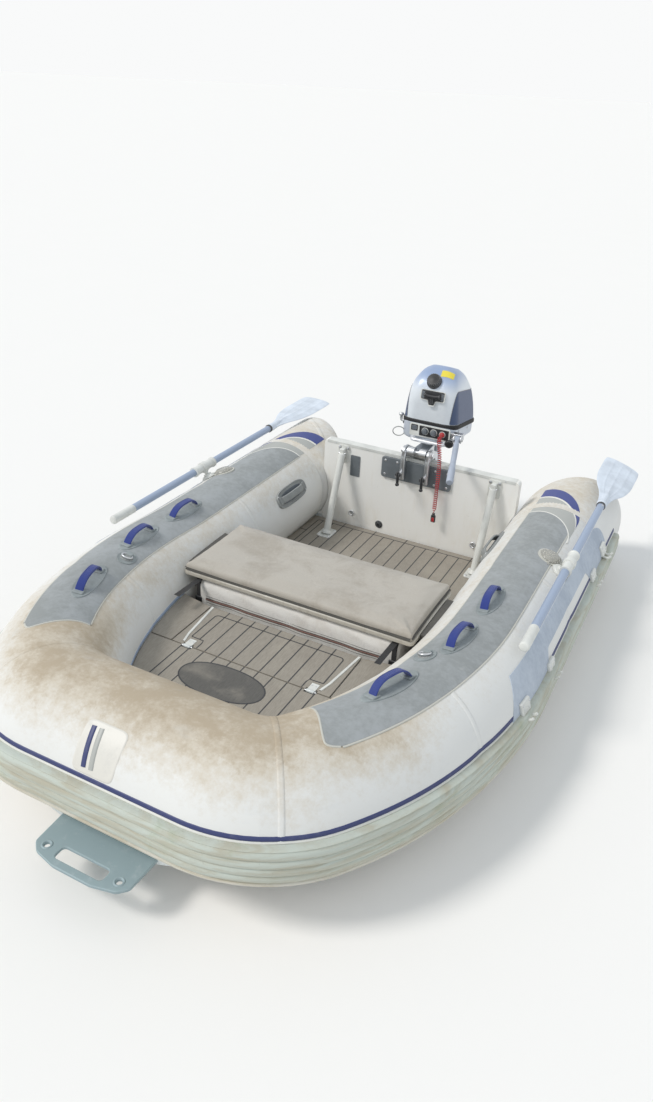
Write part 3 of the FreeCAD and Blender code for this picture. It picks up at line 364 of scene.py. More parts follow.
# The line down the middle of the port tube, from its stern end to the bow's middle.
tubeLine = Look(
    radius=0.210, halfSpacing=0.645, height=0.185, sternY=1.235,
    runs=(
        # kind, radius, then degrees or metres
        ("run", 0, 1.275), ("rise", 3, 4), ("turn", 1.8, 16), ("turn", 1.1, 18), ("turn", 0.225, 56),
        ("run", 0, 0.2433)))


class TubePath:
    def __init__(self, line):
        self.radius = line.radius
        point = np.array([line.halfSpacing, line.sternY, line.height])
        along, outward, up = np.array([[0, -1, 0], [1, 0, 0], [0, 0, 1]], float)
        self.parts = []
        self.length = 0
        for kind, radius, amount in line.runs:
            long = amount if kind == "run" else radius * math.radians(amount)
            self.parts.append((self.length, long, kind, radius, point, along, outward, up))
            self.length += long
            point, along, outward, up = (part[0] for part in self.follow(self.parts[-1], np.array([long])))
        self.table = np.linspace(0, self.length, 4000)
        self.tableY = self.frames(self.table)[0][:, 1]

    def follow(self, part, ahead):
        start, long, kind, radius, point, along, outward, up = part
        ahead = ahead[:, None]
        same = np.zeros_like(ahead)
        if kind == "run":
            return point + along * ahead, along + same, outward + same, up + same
        turn = ahead / radius
        if kind == "rise":
            nowUp = up * np.cos(turn) - along * np.sin(turn)
            nowAlong = along * np.cos(turn) + up * np.sin(turn)
            return point + up * radius - nowUp * radius, nowAlong, outward + same, nowUp
        nowOut = outward * np.cos(turn) + along * np.sin(turn)
        nowAlong = along * np.cos(turn) - outward * np.sin(turn)
        return point - outward * radius + nowOut * radius, nowAlong, nowOut, up + same

    def frames(self, distances):
        made = [np.zeros((len(distances), 3)) for number in range(4)]
        for part in self.parts:
            pick = distances >= part[0] - 1e-9
            for whole, piece in zip(made, self.follow(part, distances[pick] - part[0])):
                whole[pick] = piece
        return made

    def at(self, y):
        # the distance along the line at which it is this far aft
        return float(np.interp(-y, -self.tableY, self.table))

    def skin(self, distances, angles, lift=0.0):
        # points and outward normals; angle 0 is outboard, 90 the crest and 180 inboard
        distances, angles = np.broadcast_arrays(np.asarray(distances, float), np.asarray(angles, float))
        point, along, outward, up = self.frames(distances.ravel())
        turn = np.radians(angles.ravel())[:, None]
        normal = outward * np.cos(turn) + up * np.sin(turn)
        reach = self.radius + np.broadcast_to(lift, distances.shape).ravel()[:, None]
        shape = distances.shape + (3,)
        return (point + normal * reach).reshape(shape), normal.reshape(shape)

    def stretch(self, distances, angles):
        # how much longer the skin is here than the middle line
        step = 0.002
        before, after = (self.skin(distances + way, angles)[0] for way in (-step, step))
        return np.maximum(np.linalg.norm(after - before, axis=-1) / (2 * step), 0.25)

    def frameOn(self, y, angle, lift=0.0, side=1):
        # a matrix on the skin: X towards the bow, Z out of the skin
        distance = np.array([self.at(y)])
        point, normal = self.skin(distance, np.array([angle]), lift)
        forward = Vector(self.frames(distance)[1][0])
        out = Vector(normal[0])
        across = out.cross(forward)
        matrix = Matrix((forward, across, out)).transposed().to_4x4()
        matrix.translation = Vector(point[0])
        return Matrix.Diagonal((side, 1, 1, 1)) @ matrix


tubePath = TubePath(tubeLine)


up, down, ahead, aft = (0, 0, 1), (0, 0, -1), (0, -1, 0), (0, 1, 0)
level = ((1, 0, 0), (0, 1, 0))
upright = ((1, 0, 0), (0, 0, 1))
lengthways = ((0, 1, 0), (0, 0, 1))
mirror = np.array([-1, 1, 1])


def arc(start, sweep, steps):
    # the cosine and sine of each step of a turn in degrees
    turns = [math.radians(start + sweep * step / steps) for step in range(steps + 1)]
    return [(math.cos(turn), math.sin(turn)) for turn in turns]


def circle(count):
    return arc(0, 360, count)[:-1]


def squared(value, power):
    return math.copysign(abs(value) ** power, value)


def oval(long, wide, count=32, square=2.0):
    # a closed outline between an ellipse (square 2) and a rounded rectangle
    return [(long / 2 * squared(c, 2 / square), wide / 2 * squared(s, 2 / square)) for c, s in circle(count)]


def rect(low, high, bottom, top):
    return [(low, bottom), (high, bottom), (high, top), (low, top)]


def rounded(corners, radius, steps=6):
    # a closed outline with each corner turned into an arc; radius may be one number or one for each corner
    count = len(corners)
    radii = radius if hasattr(radius, "__len__") else [radius] * count
    outline = []
    for number in range(count):
        corner = Vector(corners[number])
        before = Vector(corners[number - 1]) - corner
        after = Vector(corners[(number + 1) % count]) - corner
        angle = before.angle(after)
        if angle > 3.1 or radii[number] <= 0:
            outline.append(tuple(corner))
            continue
        back = min(radii[number] / math.tan(angle / 2), before.length * 0.48, after.length * 0.48)
        size = back * math.tan(angle / 2)
        middle = corner + (before.normalized() + after.normalized()).normalized() * (size / math.sin(angle / 2))
        start = corner + before.normalized() * back - middle
        sweep = start.angle_signed(corner + after.normalized() * back - middle)
        for c, s in arc(0, -math.degrees(sweep), steps):
            outline.append((middle.x + start.x * c - start.y * s, middle.y + start.x * s + start.y * c))
    return outline


def cutPlate(loops, depth, bevel):
    # a flat plate with softened edges and holes: the first loop is its outline
    curve = bpy.data.curves.new("cutPlate", "CURVE")
    curve.dimensions = "2D"
    curve.fill_mode = "BOTH"
    curve.extrude = depth / 2 - bevel
    curve.bevel_depth = bevel
    curve.bevel_resolution = 2
    curve.offset = -bevel
    for loop in loops:
        spline = curve.splines.new("POLY")
        spline.points.add(len(loop) - 1)
        for point, (x, y) in zip(spline.points, loop):
            point.co = (x, y, 0, 1)
        spline.use_cyclic_u = True
    holder = bpy.data.objects.new("cutPlate", curve)
    made = bpy.data.meshes.new_from_object(holder)
    mesh = bmesh.new()
    mesh.from_mesh(made)
    bmesh.ops.remove_doubles(mesh, verts=mesh.verts, dist=0.001)
    for item, store in ((holder, bpy.data.objects), (curve, bpy.data.curves), (made, bpy.data.meshes)):
        store.remove(item)
    return mesh


class Form:
    # gathers rounded solids into one mesh; at is a matrix that places what comes next. A grid and a capped
    # stack of rings are in metres, and all other solids in millimetres.
    def __init__(self, name, material=None, at=None):
        self.name, self.material = name, material
        self.at = at or Matrix.Identity(4)
        self.points, self.faces, self.numbers, self.materials = [], [], [], []

    def take(self, points, faces, material=None):
        material = material or self.material
        if material not in self.materials:
            self.materials.append(material)
        first = len(self.points)
        turned = self.at.to_3x3().determinant() < 0
        self.points += [self.at @ Vector(point) for point in points]
        self.faces += [[first + corner for corner in (face[::-1] if turned else face)] for face in faces]
        self.numbers += [self.materials.index(material)] * len(faces)

    def takeMesh(self, mesh, material, bevel=0, steps=2, sharp=30):
        if bevel:
            edges = [edge for edge in mesh.edges if edge.calc_face_angle(0) > math.radians(sharp)]
            bmesh.ops.bevel(mesh, geom=edges, offset=bevel, segments=steps, profile=0.5, affect="EDGES",
                            clamp_overlap=True)
        bmesh.ops.recalc_face_normals(mesh, faces=mesh.faces)
        mesh.verts.index_update()
        self.take([vert.co / 1000 for vert in mesh.verts],
                  [[vert.index for vert in face.verts] for face in mesh.faces],
                  material)
        mesh.free()

    def block(self, low, high, bevel=3, steps=2, material=None):
        mesh = bmesh.new()
        low, high = Vector(low), Vector(high)
        for vert in bmesh.ops.create_cube(mesh, size=1)["verts"]:
            vert.co = (low + high) / 2 + vert.co * (high - low)
        self.takeMesh(mesh, material, bevel, steps)

    def slab(self, outline, depth, bevel=2, steps=2, axes=level, start=(0, 0, 0), material=None):
        # a flat outline pushed through its own normal, from start
        first, second = Vector(axes[0]), Vector(axes[1])
        mesh = bmesh.new()
        face = mesh.faces.new([mesh.verts.new(Vector(start) + first * u + second * v) for u, v in outline])
        for item in bmesh.ops.extrude_face_region(mesh, geom=[face])["geom"]:
            if isinstance(item, bmesh.types.BMVert):
                item.co += first.cross(second).normalized() * depth
        self.takeMesh(mesh, material, bevel, steps, 25)

    def plate(self, loops, depth, bevel=1, axes=level, start=(0, 0, 0), material=None):
        # a cut plate that stands on the plane of its two axes, rising along their normal
        first, second = Vector(axes[0]), Vector(axes[1])
        normal = first.cross(second).normalized()
        mesh = cutPlate(loops, depth, bevel)
        for vert in mesh.verts:
            u, v, w = vert.co
            vert.co = Vector(start) + first * u + second * v + normal * (w + depth / 2)
        self.takeMesh(mesh, material)

    def lathe(self, profile, start, way=up, sides=32, material=None):
        # profile holds (radius, height) from one end to the other
        start, way = Vector(start), Vector(way).normalized()
        first = way.orthogonal().normalized()
        second = way.cross(first)
        rings = [[(start + way * height + (first * c + second * s) * radius) / 1000 for c, s in circle(sides)]
                 for radius, height in profile]
        self.capped(rings, material)

    def bar(self, start, end, radius, bevel=2, sides=28, material=None):
        way = Vector(end) - Vector(start)
        soft = min(bevel, radius * 0.45, way.length * 0.45)
        profile = [(radius - soft, 0)] + [(radius - soft * (1 - s), soft * (1 - c)) for c,
                                          s in arc(30, 60, 2)]
        profile += [(r, way.length - h) for r, h in reversed(profile)]
        self.lathe(profile, start, way, sides, material)

    def bolt(self, spot, way, near, far, radius, bevel=1, sides=6, material=None):
        # a short bar on the line through spot, between two heights along way
        spot, way = Vector(spot), Vector(way)
        self.bar(spot + way * near, spot + way * far, radius, bevel, sides, material)

    def tube(self, points, radius, sides=16, material=None, closed=False, flat=1, upward=None):
        # a bent rod through points; flat squeezes it across, for straps
        line = [Vector(point) for point in points]
        count = len(line)
        rings = []
        side = None
        for number, point in enumerate(line):
            before = line[number - 1] if number or closed else point
            after = line[(number + 1) % count] if number < count - 1 or closed else point
            way = (after - before).normalized()
            if upward:
                side = Vector(upward).cross(way)
            else:
                side = side - way * side.dot(way) if side else way.orthogonal()
            side = side.normalized()
            other = way.cross(side) * flat
            rings.append([(point + (side * c + other * s) * radius) / 1000 for c, s in circle(sides)])
        if closed:
            self.grid(rings, material, around=True, loop=True)
        else:
            self.capped(rings, material)

    def ring(self, middle, radius, wire, sides=10, count=32, axes=level, material=None):
        # a closed hoop on the plane of its two axes
        first, second = Vector(axes[0]) * radius, Vector(axes[1]) * radius
        self.tube([Vector(middle) + first * c + second * s for c, s in circle(count)], wire, sides, material,
                  closed=True)

    def grid(self, points, material=None, around=False, flip=False, loop=False, caps=()):
        # rows and columns of points; around closes each row on itself, and loop the last row on the first
        points = np.array(points, float)
        rows, columns = points.shape[:2]
        faces = []
        for row in range(rows if loop else rows - 1):
            first, after = row * columns, (row + 1) % rows * columns
            for column in range(columns if around else columns - 1):
                following = (column + 1) % columns
                face = (first + column, first + following, after + following, after + column)
                faces.append(face[::-1] if flip else face)
        self.take(points.reshape(-1, 3), faces + list(caps), material)

    def capped(self, rings, material=None):
        # closed rings from end to end, with both ends filled
        columns = len(rings[0])
        last = (len(rings) - 1) * columns
        self.grid(rings, material, around=True, caps=(range(columns)[::-1], range(last, last + columns)))

    def piece(self, slotName, replaced="", sharp=38, body="hull", weighted=True, repair=False):
        mesh = bpy.data.meshes.new(self.name)
        mesh.from_pydata([tuple(point) for point in self.points], [], self.faces)
        for material in self.materials:
            mesh.materials.append(material)
        mesh.polygons.foreach_set("material_index", self.numbers)
        mesh.polygons.foreach_set("use_smooth", [True] * len(self.faces))
        if repair:
            fixed = bmesh.new()
            fixed.from_mesh(mesh)
            bmesh.ops.recalc_face_normals(fixed, faces=fixed.faces)
            fixed.to_mesh(mesh)
            fixed.free()
        mesh.set_sharp_from_angle(angle=math.radians(sharp))
        mesh.update()
        made = bpy.data.objects.new(self.name, mesh)
        bpy.context.scene.collection.objects.link(made)
        if weighted:
            smooth = made.modifiers.new("evenShading", "WEIGHTED_NORMAL")
            smooth.keep_sharp = True
        return settle(made, body, replaced)

    def skin(self, slotName, replaced="", sharp=38, body="hull"):
        return self.piece(slotName, replaced, sharp, body, weighted=False, repair=True)

    def tree(self):
        return BVHTree.FromPolygons(self.points, self.faces)


def settle(made, body, replaced=""):
    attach(made, body)
    if replaced:
        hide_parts(replaced)
    return made


def crestAngleOn(made, turns):
    # 0 outboard, 90 crest, 180 inboard, and the underside counted as outboard or inboard
    values = np.where(turns > 270, 0, np.where(turns > 180, 180, turns))
    stored = made.data.attributes.new("tubeAngle", "FLOAT", "POINT")
    stored.data.foreach_set("value", np.asarray(values, np.float32).ravel())


def sidesOf(points):
    # the port points, and the same ones mirrored to starboard
    return (("port", 1, points), ("starboard", -1, points * mirror))


# Tubes: one skin each, slightly drawn in at the glued seams.
tubeLook = Look(around=96, spacing=0.018, seams=(0.52, 1.10, 1.90, 2.415), drawnIn=0.0022, drawnWidth=0.035,
                bowFrom=2.443,
                sternPlugY=0.7)


def drawnIn(distances):
    bands = [np.exp(-((distances - seam) / tubeLook.drawnWidth) ** 2) for seam in tubeLook.seams]
    return -tubeLook.drawnIn * sum(bands)


def tubeRings(start, end):
    count = max(2, int((end - start) / tubeLook.spacing))
    angles = np.linspace(0, 360, tubeLook.around, endpoint=False)
    grid, turns = np.meshgrid(np.linspace(start, end, count + 1), angles, indexing="ij")
    return tubePath.skin(grid, turns, drawnIn(grid))[0], turns


def buildTubes():
    points, turns = tubeRings(tubePath.at(tubeLook.sternPlugY), tubeLook.bowFrom)
    for side, way, placed in sidesOf(points):
        form = Form("tubeSide_" + side, tubeSkin)
        form.grid(placed, around=True, flip=way < 0)
        crestAngleOn(form.skin("tube_skin", "tube_side_" + side), turns)
    points, turns = tubeRings(tubeLook.bowFrom, tubePath.length)
    form = Form("tubeBow", tubeSkin)
    form.grid(np.concatenate([points, (points * mirror)[-2::-1]]), around=True)
    crestAngleOn(form.skin("tube_skin", "tube_bow"), np.concatenate([turns, turns[-2::-1]]))


sternCap = Look(ballRadius=0.435, ballY=0.780, soften=0.30, rings=40, heartX=0.030, heartY=0.800)


def sternDepth(points):
    # below zero inside the rounded stern end, above zero outside it
    x, y, z = np.moveaxis(points, -1, 0) - np.array([tubeLine.halfSpacing, sternCap.ballY,
                                                     tubeLine.height])[:, None]
    radius, ballRadius = tubeLine.radius, sternCap.ballRadius
    barrel = np.hypot(x, z) - radius
    ball = np.sqrt((x - radius) ** 2 + np.maximum(y, 0) ** 2 + z ** 2) - ballRadius
    turn = np.arctan2(z, x)
    spare = ballRadius - np.hypot(radius * np.cos(turn) - radius, radius * np.sin(turn))
    soften = sternCap.soften * spare + 1e-4
    overlap = np.maximum(soften - np.abs(barrel - ball), 0) / soften
    return np.maximum(barrel, ball) + overlap ** 2 * soften / 4


def castOut(start, ways, furthest=0.6):
    near, far = np.zeros(len(ways)), np.full(len(ways), furthest)
    for step in range(34):
        middle = (near + far) / 2
        inside = sternDepth(start + ways * middle[:, None]) < 0
        near, far = np.where(inside, middle, near), np.where(inside, far, middle)
    return start + ways * near[:, None]


def buildSternEnds():
    angles = np.radians(np.linspace(0, 360, tubeLook.around, endpoint=False))
    across, rise, same = np.cos(angles), np.sin(angles), np.ones_like(angles)
    heart = np.array([tubeLine.halfSpacing + sternCap.heartX, sternCap.heartY, tubeLine.height])
    plug = np.array([tubeLine.halfSpacing, 0, tubeLine.height])
    rings = [plug + np.stack([tubeLine.radius * across, same * tubeLook.sternPlugY, tubeLine.radius * rise],
                             axis=1)]
    for turn in np.radians(np.linspace(82, 0.6, sternCap.rings)):
        ways = np.stack([math.sin(turn) * across, same * math.cos(turn), math.sin(turn) * rise], axis=1)
        rings.append(castOut(heart, ways))
    rings = np.array(rings)
    turns = np.degrees(np.arctan2(rings[..., 2] - tubeLine.height,
                                  rings[..., 0] - tubeLine.halfSpacing)) % 360
    for side, way, placed in sidesOf(rings):
        form = Form("tubeEnd_" + side, tubeSkin)
        form.capped(placed)
        crestAngleOn(form.skin("tube_skin", "tube_end_" + side, 180), turns)


def skinSheet(name, distances, angles, lift, material, slotName="patch_grey", replaced=""):
    # a thin piece glued on both tubes, its edges turned down to the skin
    grid, turns = (np.pad(np.asarray(values, float), 1, mode="edge") for values in (distances, angles))
    lifts = np.pad(np.full(np.shape(distances), lift), 1, constant_values=-0.0012) + drawnIn(grid)
    for side, way, placed in sidesOf(tubePath.skin(grid, turns, lifts)[0]):
        form = Form("%s_%s" % (name, side), material)
        form.grid(placed, flip=way < 0)
        form.skin(slotName, replaced and replaced + side, 60)


def skinRibbon(name, path, width, lift, material, slotName="patch_grey", sides=(1, -1)):
    # a narrow strip along (distance, angle) points on the tube's skin
    path = np.asarray(path, float)
    flat = np.stack([path[:, 0], np.radians(path[:, 1]) * tubeLine.radius], axis=1)
    way = np.gradient(flat, axis=0)
    way /= np.linalg.norm(way, axis=1)[:, None] + 1e-12
    # on a bend the skin is longer outside than along the middle, so a strip across it gets its width there
    across = np.stack([-way[:, 1] / tubePath.stretch(path[:, 0], path[:, 1]), way[:, 0]], axis=1)
    shares = np.array([-0.5, -0.44, -0.15, 0.15, 0.44, 0.5])
    lifts = np.array([-0.001, lift * 0.8, lift, lift, lift * 0.8, -0.001])
    placed = flat[:, None] + across[:, None] * (shares[:, None] * width)
    grid, turns = placed[..., 0], np.degrees(placed[..., 1] / tubeLine.radius)
    for side, number, placed in sidesOf(tubePath.skin(grid, turns, lifts + drawnIn(grid))[0]):
        if number in sides:
            form = Form("%s_%s" % (name, side), material)
            form.grid(placed)
            made = form.skin(slotName, sharp=75)
            if material is tubeSkin:
                crestAngleOn(made, turns)


buildTubes()
buildSternEnds()
seamLook = Look(width=0.018, lift=0.001, first=-60, last=235)
for number, seam in enumerate(tubeLook.seams):
    seamPath = [(seam, turn) for turn in np.linspace(seamLook.first, seamLook.last, 90)]
    skinRibbon("seamTape%d" % number, seamPath, seamLook.width, seamLook.lift, tubeSkin, "tube_skin")
# The stern end's own seam runs forward on the inner side.
sternSeam = Look(inner=0.790, swing=0.205, first=70, last=235, width=0.022)
seamPath = [(tubePath.at(sternSeam.inner + sternSeam.swing * (1 + math.cos(math.radians(turn)))), turn)
            for turn in np.linspace(sternSeam.first, sternSeam.last, 60)]
skinRibbon("sternSeam", seamPath, sternSeam.width, seamLook.lift, tubeSkin, "tube_skin")
print("tubes made")

# Grey wear patches on the crests, with the printed arcs behind them.
patchLook = Look(inner=120, outer=68, spare=4, lift=0.0016, columns=26, rows=150, bowInner=2.262,
                 bowOuter=2.318, edge=0.006)
arcRows = (
    # name, inner and outer y of the forward edge, of the aft edge, material, lift
    ("arcPale", 0.652, 0.452, 0.812, 0.562, arcGrey, 0.0008),
    ("arcLineAft", 0.806, 0.556, 0.818, 0.574, arcWhite, 0.0014),
    ("arcBlue", 0.820, 0.576, 0.901, 0.630, arcBlue, 0.0012),
)


def sweepTurns(columns):
    # angles from the inner edge out, close together where the ends curve most
    reach = patchLook.inner - patchLook.outer + patchLook.spare
    return [patchLook.inner - reach * math.sin(math.pi / 2 * number / (columns - 1)) for number in range(columns)]


def arcLine(innerY, outerY, turns):
    # how far along the tube an arc lies at each angle
    reach = patchLook.inner - patchLook.outer + patchLook.spare
    heights = [math.sqrt(max(0.0, 1 - min(1.0, (patchLook.inner - turn) / reach) ** 2)) for turn in turns]
    return np.array([tubePath.at(outerY + (innerY - outerY) * height) for height in heights])


def bowEnd(turn):
    # the patch's forward end: an S from the inner side, rounded at the outer corner
    share = (patchLook.inner - turn) / (patchLook.inner - patchLook.outer)
    rise = share * share * (3 - 2 * share)
    corner = max(0.0, share - 0.86) / 0.14
    return patchLook.bowInner + (patchLook.bowOuter - patchLook.bowInner) * rise - 0.034 * corner ** 2.4


def patchBetween(name, turns, aftEnd, bowSide, rows, lift, material, replaced=""):
    shares = np.linspace(0, 1, rows)[:, None]
    grid = aftEnd[None, :] * (1 - shares) + bowSide[None, :] * shares
    skinSheet(name, grid, np.broadcast_to(turns, grid.shape), lift, material, replaced=replaced)


def buildPatches():
    turns = np.linspace(patchLook.inner, patchLook.outer, patchLook.columns)
    innerY, outerY = arcRows[0][1:3]
    back = arcLine(innerY, outerY, turns)
    bow = np.array([bowEnd(turn) for turn in turns])
    lift, edge = patchLook.lift, patchLook.edge
    patchBetween("topPatch", turns, back, bow, patchLook.rows, lift, patchGrey, "top_patch_")
    front = list(zip(bow + edge / 2, turns))
    outer = [(distance, turns[-1] - 0.8) for distance in np.linspace(front[-1][0] - 0.004, back[-1], 140)]
    inner = [(distance, turns[0] + 0.8) for distance in np.linspace(back[0], front[0][0] - 0.004, 140)]
    sweep = sweepTurns(40)
    stern = list(zip(arcLine(innerY, outerY, sweep), sweep))
    for name, path, width, rise, material in (
            ("Bow", front, edge, 1.2, patchEdge), ("Outer", outer, edge, 1.2, patchEdge),
            ("Inner", inner, edge * 0.7, 1.2, patchEdge), ("Stern", stern, 0.007, 1.3, arcWhite)):
        ending = "Line" if name == "Stern" else "Edge"
        skinRibbon("patch" + name + ending, path, width, lift * rise, material)
    turns = sweepTurns(36)
    for name, foreInner, foreOuter, aftInner, aftOuter, material, lift in arcRows:
        patchBetween(name, turns, arcLine(aftInner, aftOuter, turns), arcLine(foreInner, foreOuter, turns),
                     12, lift, material)


buildPatches()
print("patches made")

# Rubbing strake: a ribbed band with a navy line above it and a pale lip below.
strakeLook = Look(
    aftY=0.960, inner=0.2085, outer=0.2335, top=0.046, bottom=-0.058, ribs=4, ribDepth=0.0045, navyAngle=16.6,
    navyWidth=0.0135, lipReach=0.2285, lipTop=-0.053, lipBottom=-0.067, spacing=0.014)


def strakeOutline():
    # from the top foot round the ribs to the bottom foot: (outwards, upwards)
    look = strakeLook
    inner, outer, top = look.inner, look.outer, look.top
    outline = [(inner - 0.004, top + 0.001), (outer - 0.014, top + 0.001), (outer - 0.007, top - 0.002)]
    span = top - look.bottom - 0.010
    for share in np.linspace(0, 1, 8 * look.ribs + 1):
        wave = abs(math.sin(math.pi * look.ribs * share)) ** 0.5
        crown = 0.0035 * (1 - (2 * share - 1) ** 2)
        outline.append((outer - look.ribDepth * (1 - wave) + crown - 0.0035, top - 0.005 - span * share))
    return outline + [(outer - 0.012, look.bottom), (inner - 0.006, look.bottom)]


def lipOutline():
    look = strakeLook
    middle, half = (look.lipTop + look.lipBottom) / 2, (look.lipTop - look.lipBottom) / 2
    curve = [(look.lipReach - half + half * c, middle + half * s) for c, s in arc(90, -180, 9)]
    return [(0.196, look.lipTop)] + curve + [(0.190, look.lipBottom)]


def sweptBand(name, outline, material, replaced=""):
    start = tubePath.at(strakeLook.aftY)
    distances = np.linspace(start, tubePath.length, int((tubePath.length - start) / strakeLook.spacing))
    point, along, outward, upward = tubePath.frames(distances)
    section = np.array(outline)
    middle = section.mean(axis=0)
    shrink = np.clip((distances - start) / 0.03, 0, 1)
    shrink = 0.55 + 0.45 * np.sqrt(1 - (1 - shrink) ** 2)
    shaped = middle + (section - middle)[None] * shrink[:, None, None]
    rings = point[:, None] + outward[:, None] * shaped[..., :1] + upward[:, None] * shaped[..., 1:]
    form = Form(name, material)
    form.capped(np.concatenate([rings, (rings * mirror)[-2::-1]]))
    form.skin("strake_rubber", replaced, 50)


sweptBand("rubStrake", strakeOutline(), strakeRubber, "rub_strake")
sweptBand("strakeLip", lipOutline(), strakeLip)
strakeLine = np.linspace(tubePath.at(strakeLook.aftY - 0.02), tubePath.length, 190)
for name, below, width, lift, material in (("navyLine", 0, strakeLook.navyWidth, 0.0012, navyVinyl),
                                           ("paleLine", 3, 0.006, 0.0016, arcWhite)):
    path = [(distance, strakeLook.navyAngle - below) for distance in strakeLine]
    skinRibbon(name, path, width, lift, material, "strake_rubber")
print("strake made")


def skinDisc(name, distance, angle, long, wide, thick, material, rim=0.0, square=2.0, sides=(1, -1),
             slotName="moulded_grey"):
    # a glued-on disc or panel that follows the tube's skin
    shares = np.array([0.01, 0.25, 0.5, 0.72, 0.86, 0.92, 0.97, 1, 1])
    levels = np.array([thick] * 5 + [thick + rim] * 2 + [thick * 0.5, -0.0012])
    placed = np.array(oval(long, wide, 48, square))[None] * shares[:, None, None]
    turns = angle + np.degrees(placed[..., 1] / tubeLine.radius)
    grid = distance + placed[..., 0]
    points = tubePath.skin(grid, turns, np.broadcast_to(levels[:, None], grid.shape))[0]
    for side, number, where in sidesOf(points):
        if number in sides:
            form = Form("%s_%s" % (name, side), material)
            form.capped(where)
            form.skin(slotName, sharp=50)


def strapRings(path, wide, thick, sides=16):
    # a flat strap's section, swept in the XZ plane with its width along Y
    path = np.asarray(path, float)
    way = np.gradient(path, axis=0)
    way /= np.linalg.norm(way, axis=1)[:, None]
    rings = []
    for centre, (x, z) in zip(path, way):
        ring = []
        for c, s in circle(sides):
            upwards = thick / 2 * squared(s, 0.8)
            ring.append((centre[0] - z * upwards, wide / 2 * squared(c, 0.35), centre[1] + x * upwards))
        rings.append(ring)
    return np.array(rings) / 1000


# Grab handles: a blue strap, arched, on a grey leaf-shaped base.
handleLook = Look(places=((-0.784, 99), (-0.427, 97), (-0.135, 97)), span=150, rise=36, wide=28, thick=5.2,
                  baseLong=0.238, baseWide=0.074, baseThick=0.0030)


def buildHandles():
    look = handleLook
    path = []
    for share in np.linspace(-1, 1, 41):
        lifted = (1 - abs(share) ** 3) ** 0.85
        path.append((look.span / 2 * share * (1.06 - 0.06 * share * share), look.rise * lifted))
    strap = [(path[0][0] - 10, -3.5)] + path + [(path[-1][0] + 10, -3.5)]
    for side, way in (("port", 1), ("starboard", -1)):
        form = Form("grabHandles_" + side, strapBlue)
        for y, angle in look.places:
            form.at = tubePath.frameOn(y, angle, 0.005, way)
            form.capped(strapRings(strap, look.wide, look.thick))
            for foot in (-look.span / 2, look.span / 2):
                form.block((foot - 16, -17.5, -4), (foot + 16, 17.5, 3.5), material=handleGrey)
            for edge in (3.5 - look.wide / 2, look.wide / 2 - 3.5):
                stitch = [(x * 0.985, edge, z + look.thick / 2 + 0.1) for x, z in strap[3:-3]]
                form.tube(stitch, 0.6, 5, navyVinyl)
        form.piece("blue_strap", "grab_handles_" + side, 60)
    for number, (y, angle) in enumerate(look.places):
        skinDisc("handleBase%d" % number, tubePath.at(y), angle, look.baseLong, look.baseWide, look.baseThick,
                 handleGrey, 0.0012)


# Towing rings, each a grey disc with a sewn tab and a steel ring.
ringLook = Look(y=-0.575, angle=108, long=0.086, wide=0.064, ring=18, wire=3.3)


def buildTowRings():
    look = ringLook
    skinDisc("ringBase", tubePath.at(look.y), look.angle, look.long, look.wide, 0.003, handleGrey, 0.0015)
    form = Form("towRings", greyMoulding)
    for way in (1, -1):
        form.at = tubePath.frameOn(look.y, look.angle, 0.003, way)
        hoop = [(look.ring * c, look.ring * s, 6.5 + 4 * c) for c, s in circle(36)]
        form.tube(hoop, look.wire, 10, alloy, closed=True)
        form.block((-26, -12, -3), (-8, 12, 8.5), material=handleGrey)
        form.lathe([(1, 0), (22, 0), (21, 3.5), (12, 5.5), (1, 6)], (0, 0, -1))
    form.piece("moulded_grey", "tow_rings", 50)


# Air valves under clear caps.
valveLook = Look(y=0.292, angle=71, radius=38, height=14)


def buildValves():
    r, h = valveLook.radius, valveLook.height
    form, caps = Form("airValves"), Form("valveCaps", clearCap)
    for way in (1, -1):
        form.at = caps.at = tubePath.frameOn(valveLook.y, valveLook.angle, 0.0, way)
        form.lathe([(1, -4), (r + 10, -4), (r + 10, 2), (r + 4, 3.5), (1, 3.5)], (0, 0, 0), up, 48, patchEdge)
        form.lathe([(1, 0), (19, 0), (19, 7), (16, 9), (8, 9), (6, 6), (1, 6)], (0, 0, 3), up, 32,
                   whitePlastic)
        for c, s in circle(6):
            form.bar((c * 10, s * 10, 12), (c * 17, s * 17, 12), 1.4, 0.5, 10, greyMoulding)
        caps.lathe([(r, 3), (r, 6), (r - 2, 8.5), (r - 8, h), (r - 14, h + 2), (1, h + 3)], (0, 0, 0), up, 48)
        caps.ring((0, 0, 5), r, 2.2, 8, 36)
        caps.tube([(36, 0, 5), (44, 2, 7), (52, 3, 6), (56, 3, 2)], 4, 8, flat=0.5)
    form.piece("white_plastic", "air_valves", 40)
    caps.piece("clear_cap", sharp=45)


# Moulded carry handles on the inner sides, a bar across an open cup.
carryLook = Look(y=0.4395, angle=152, long=0.238, wide=0.082, bar=26, barHalf=85)


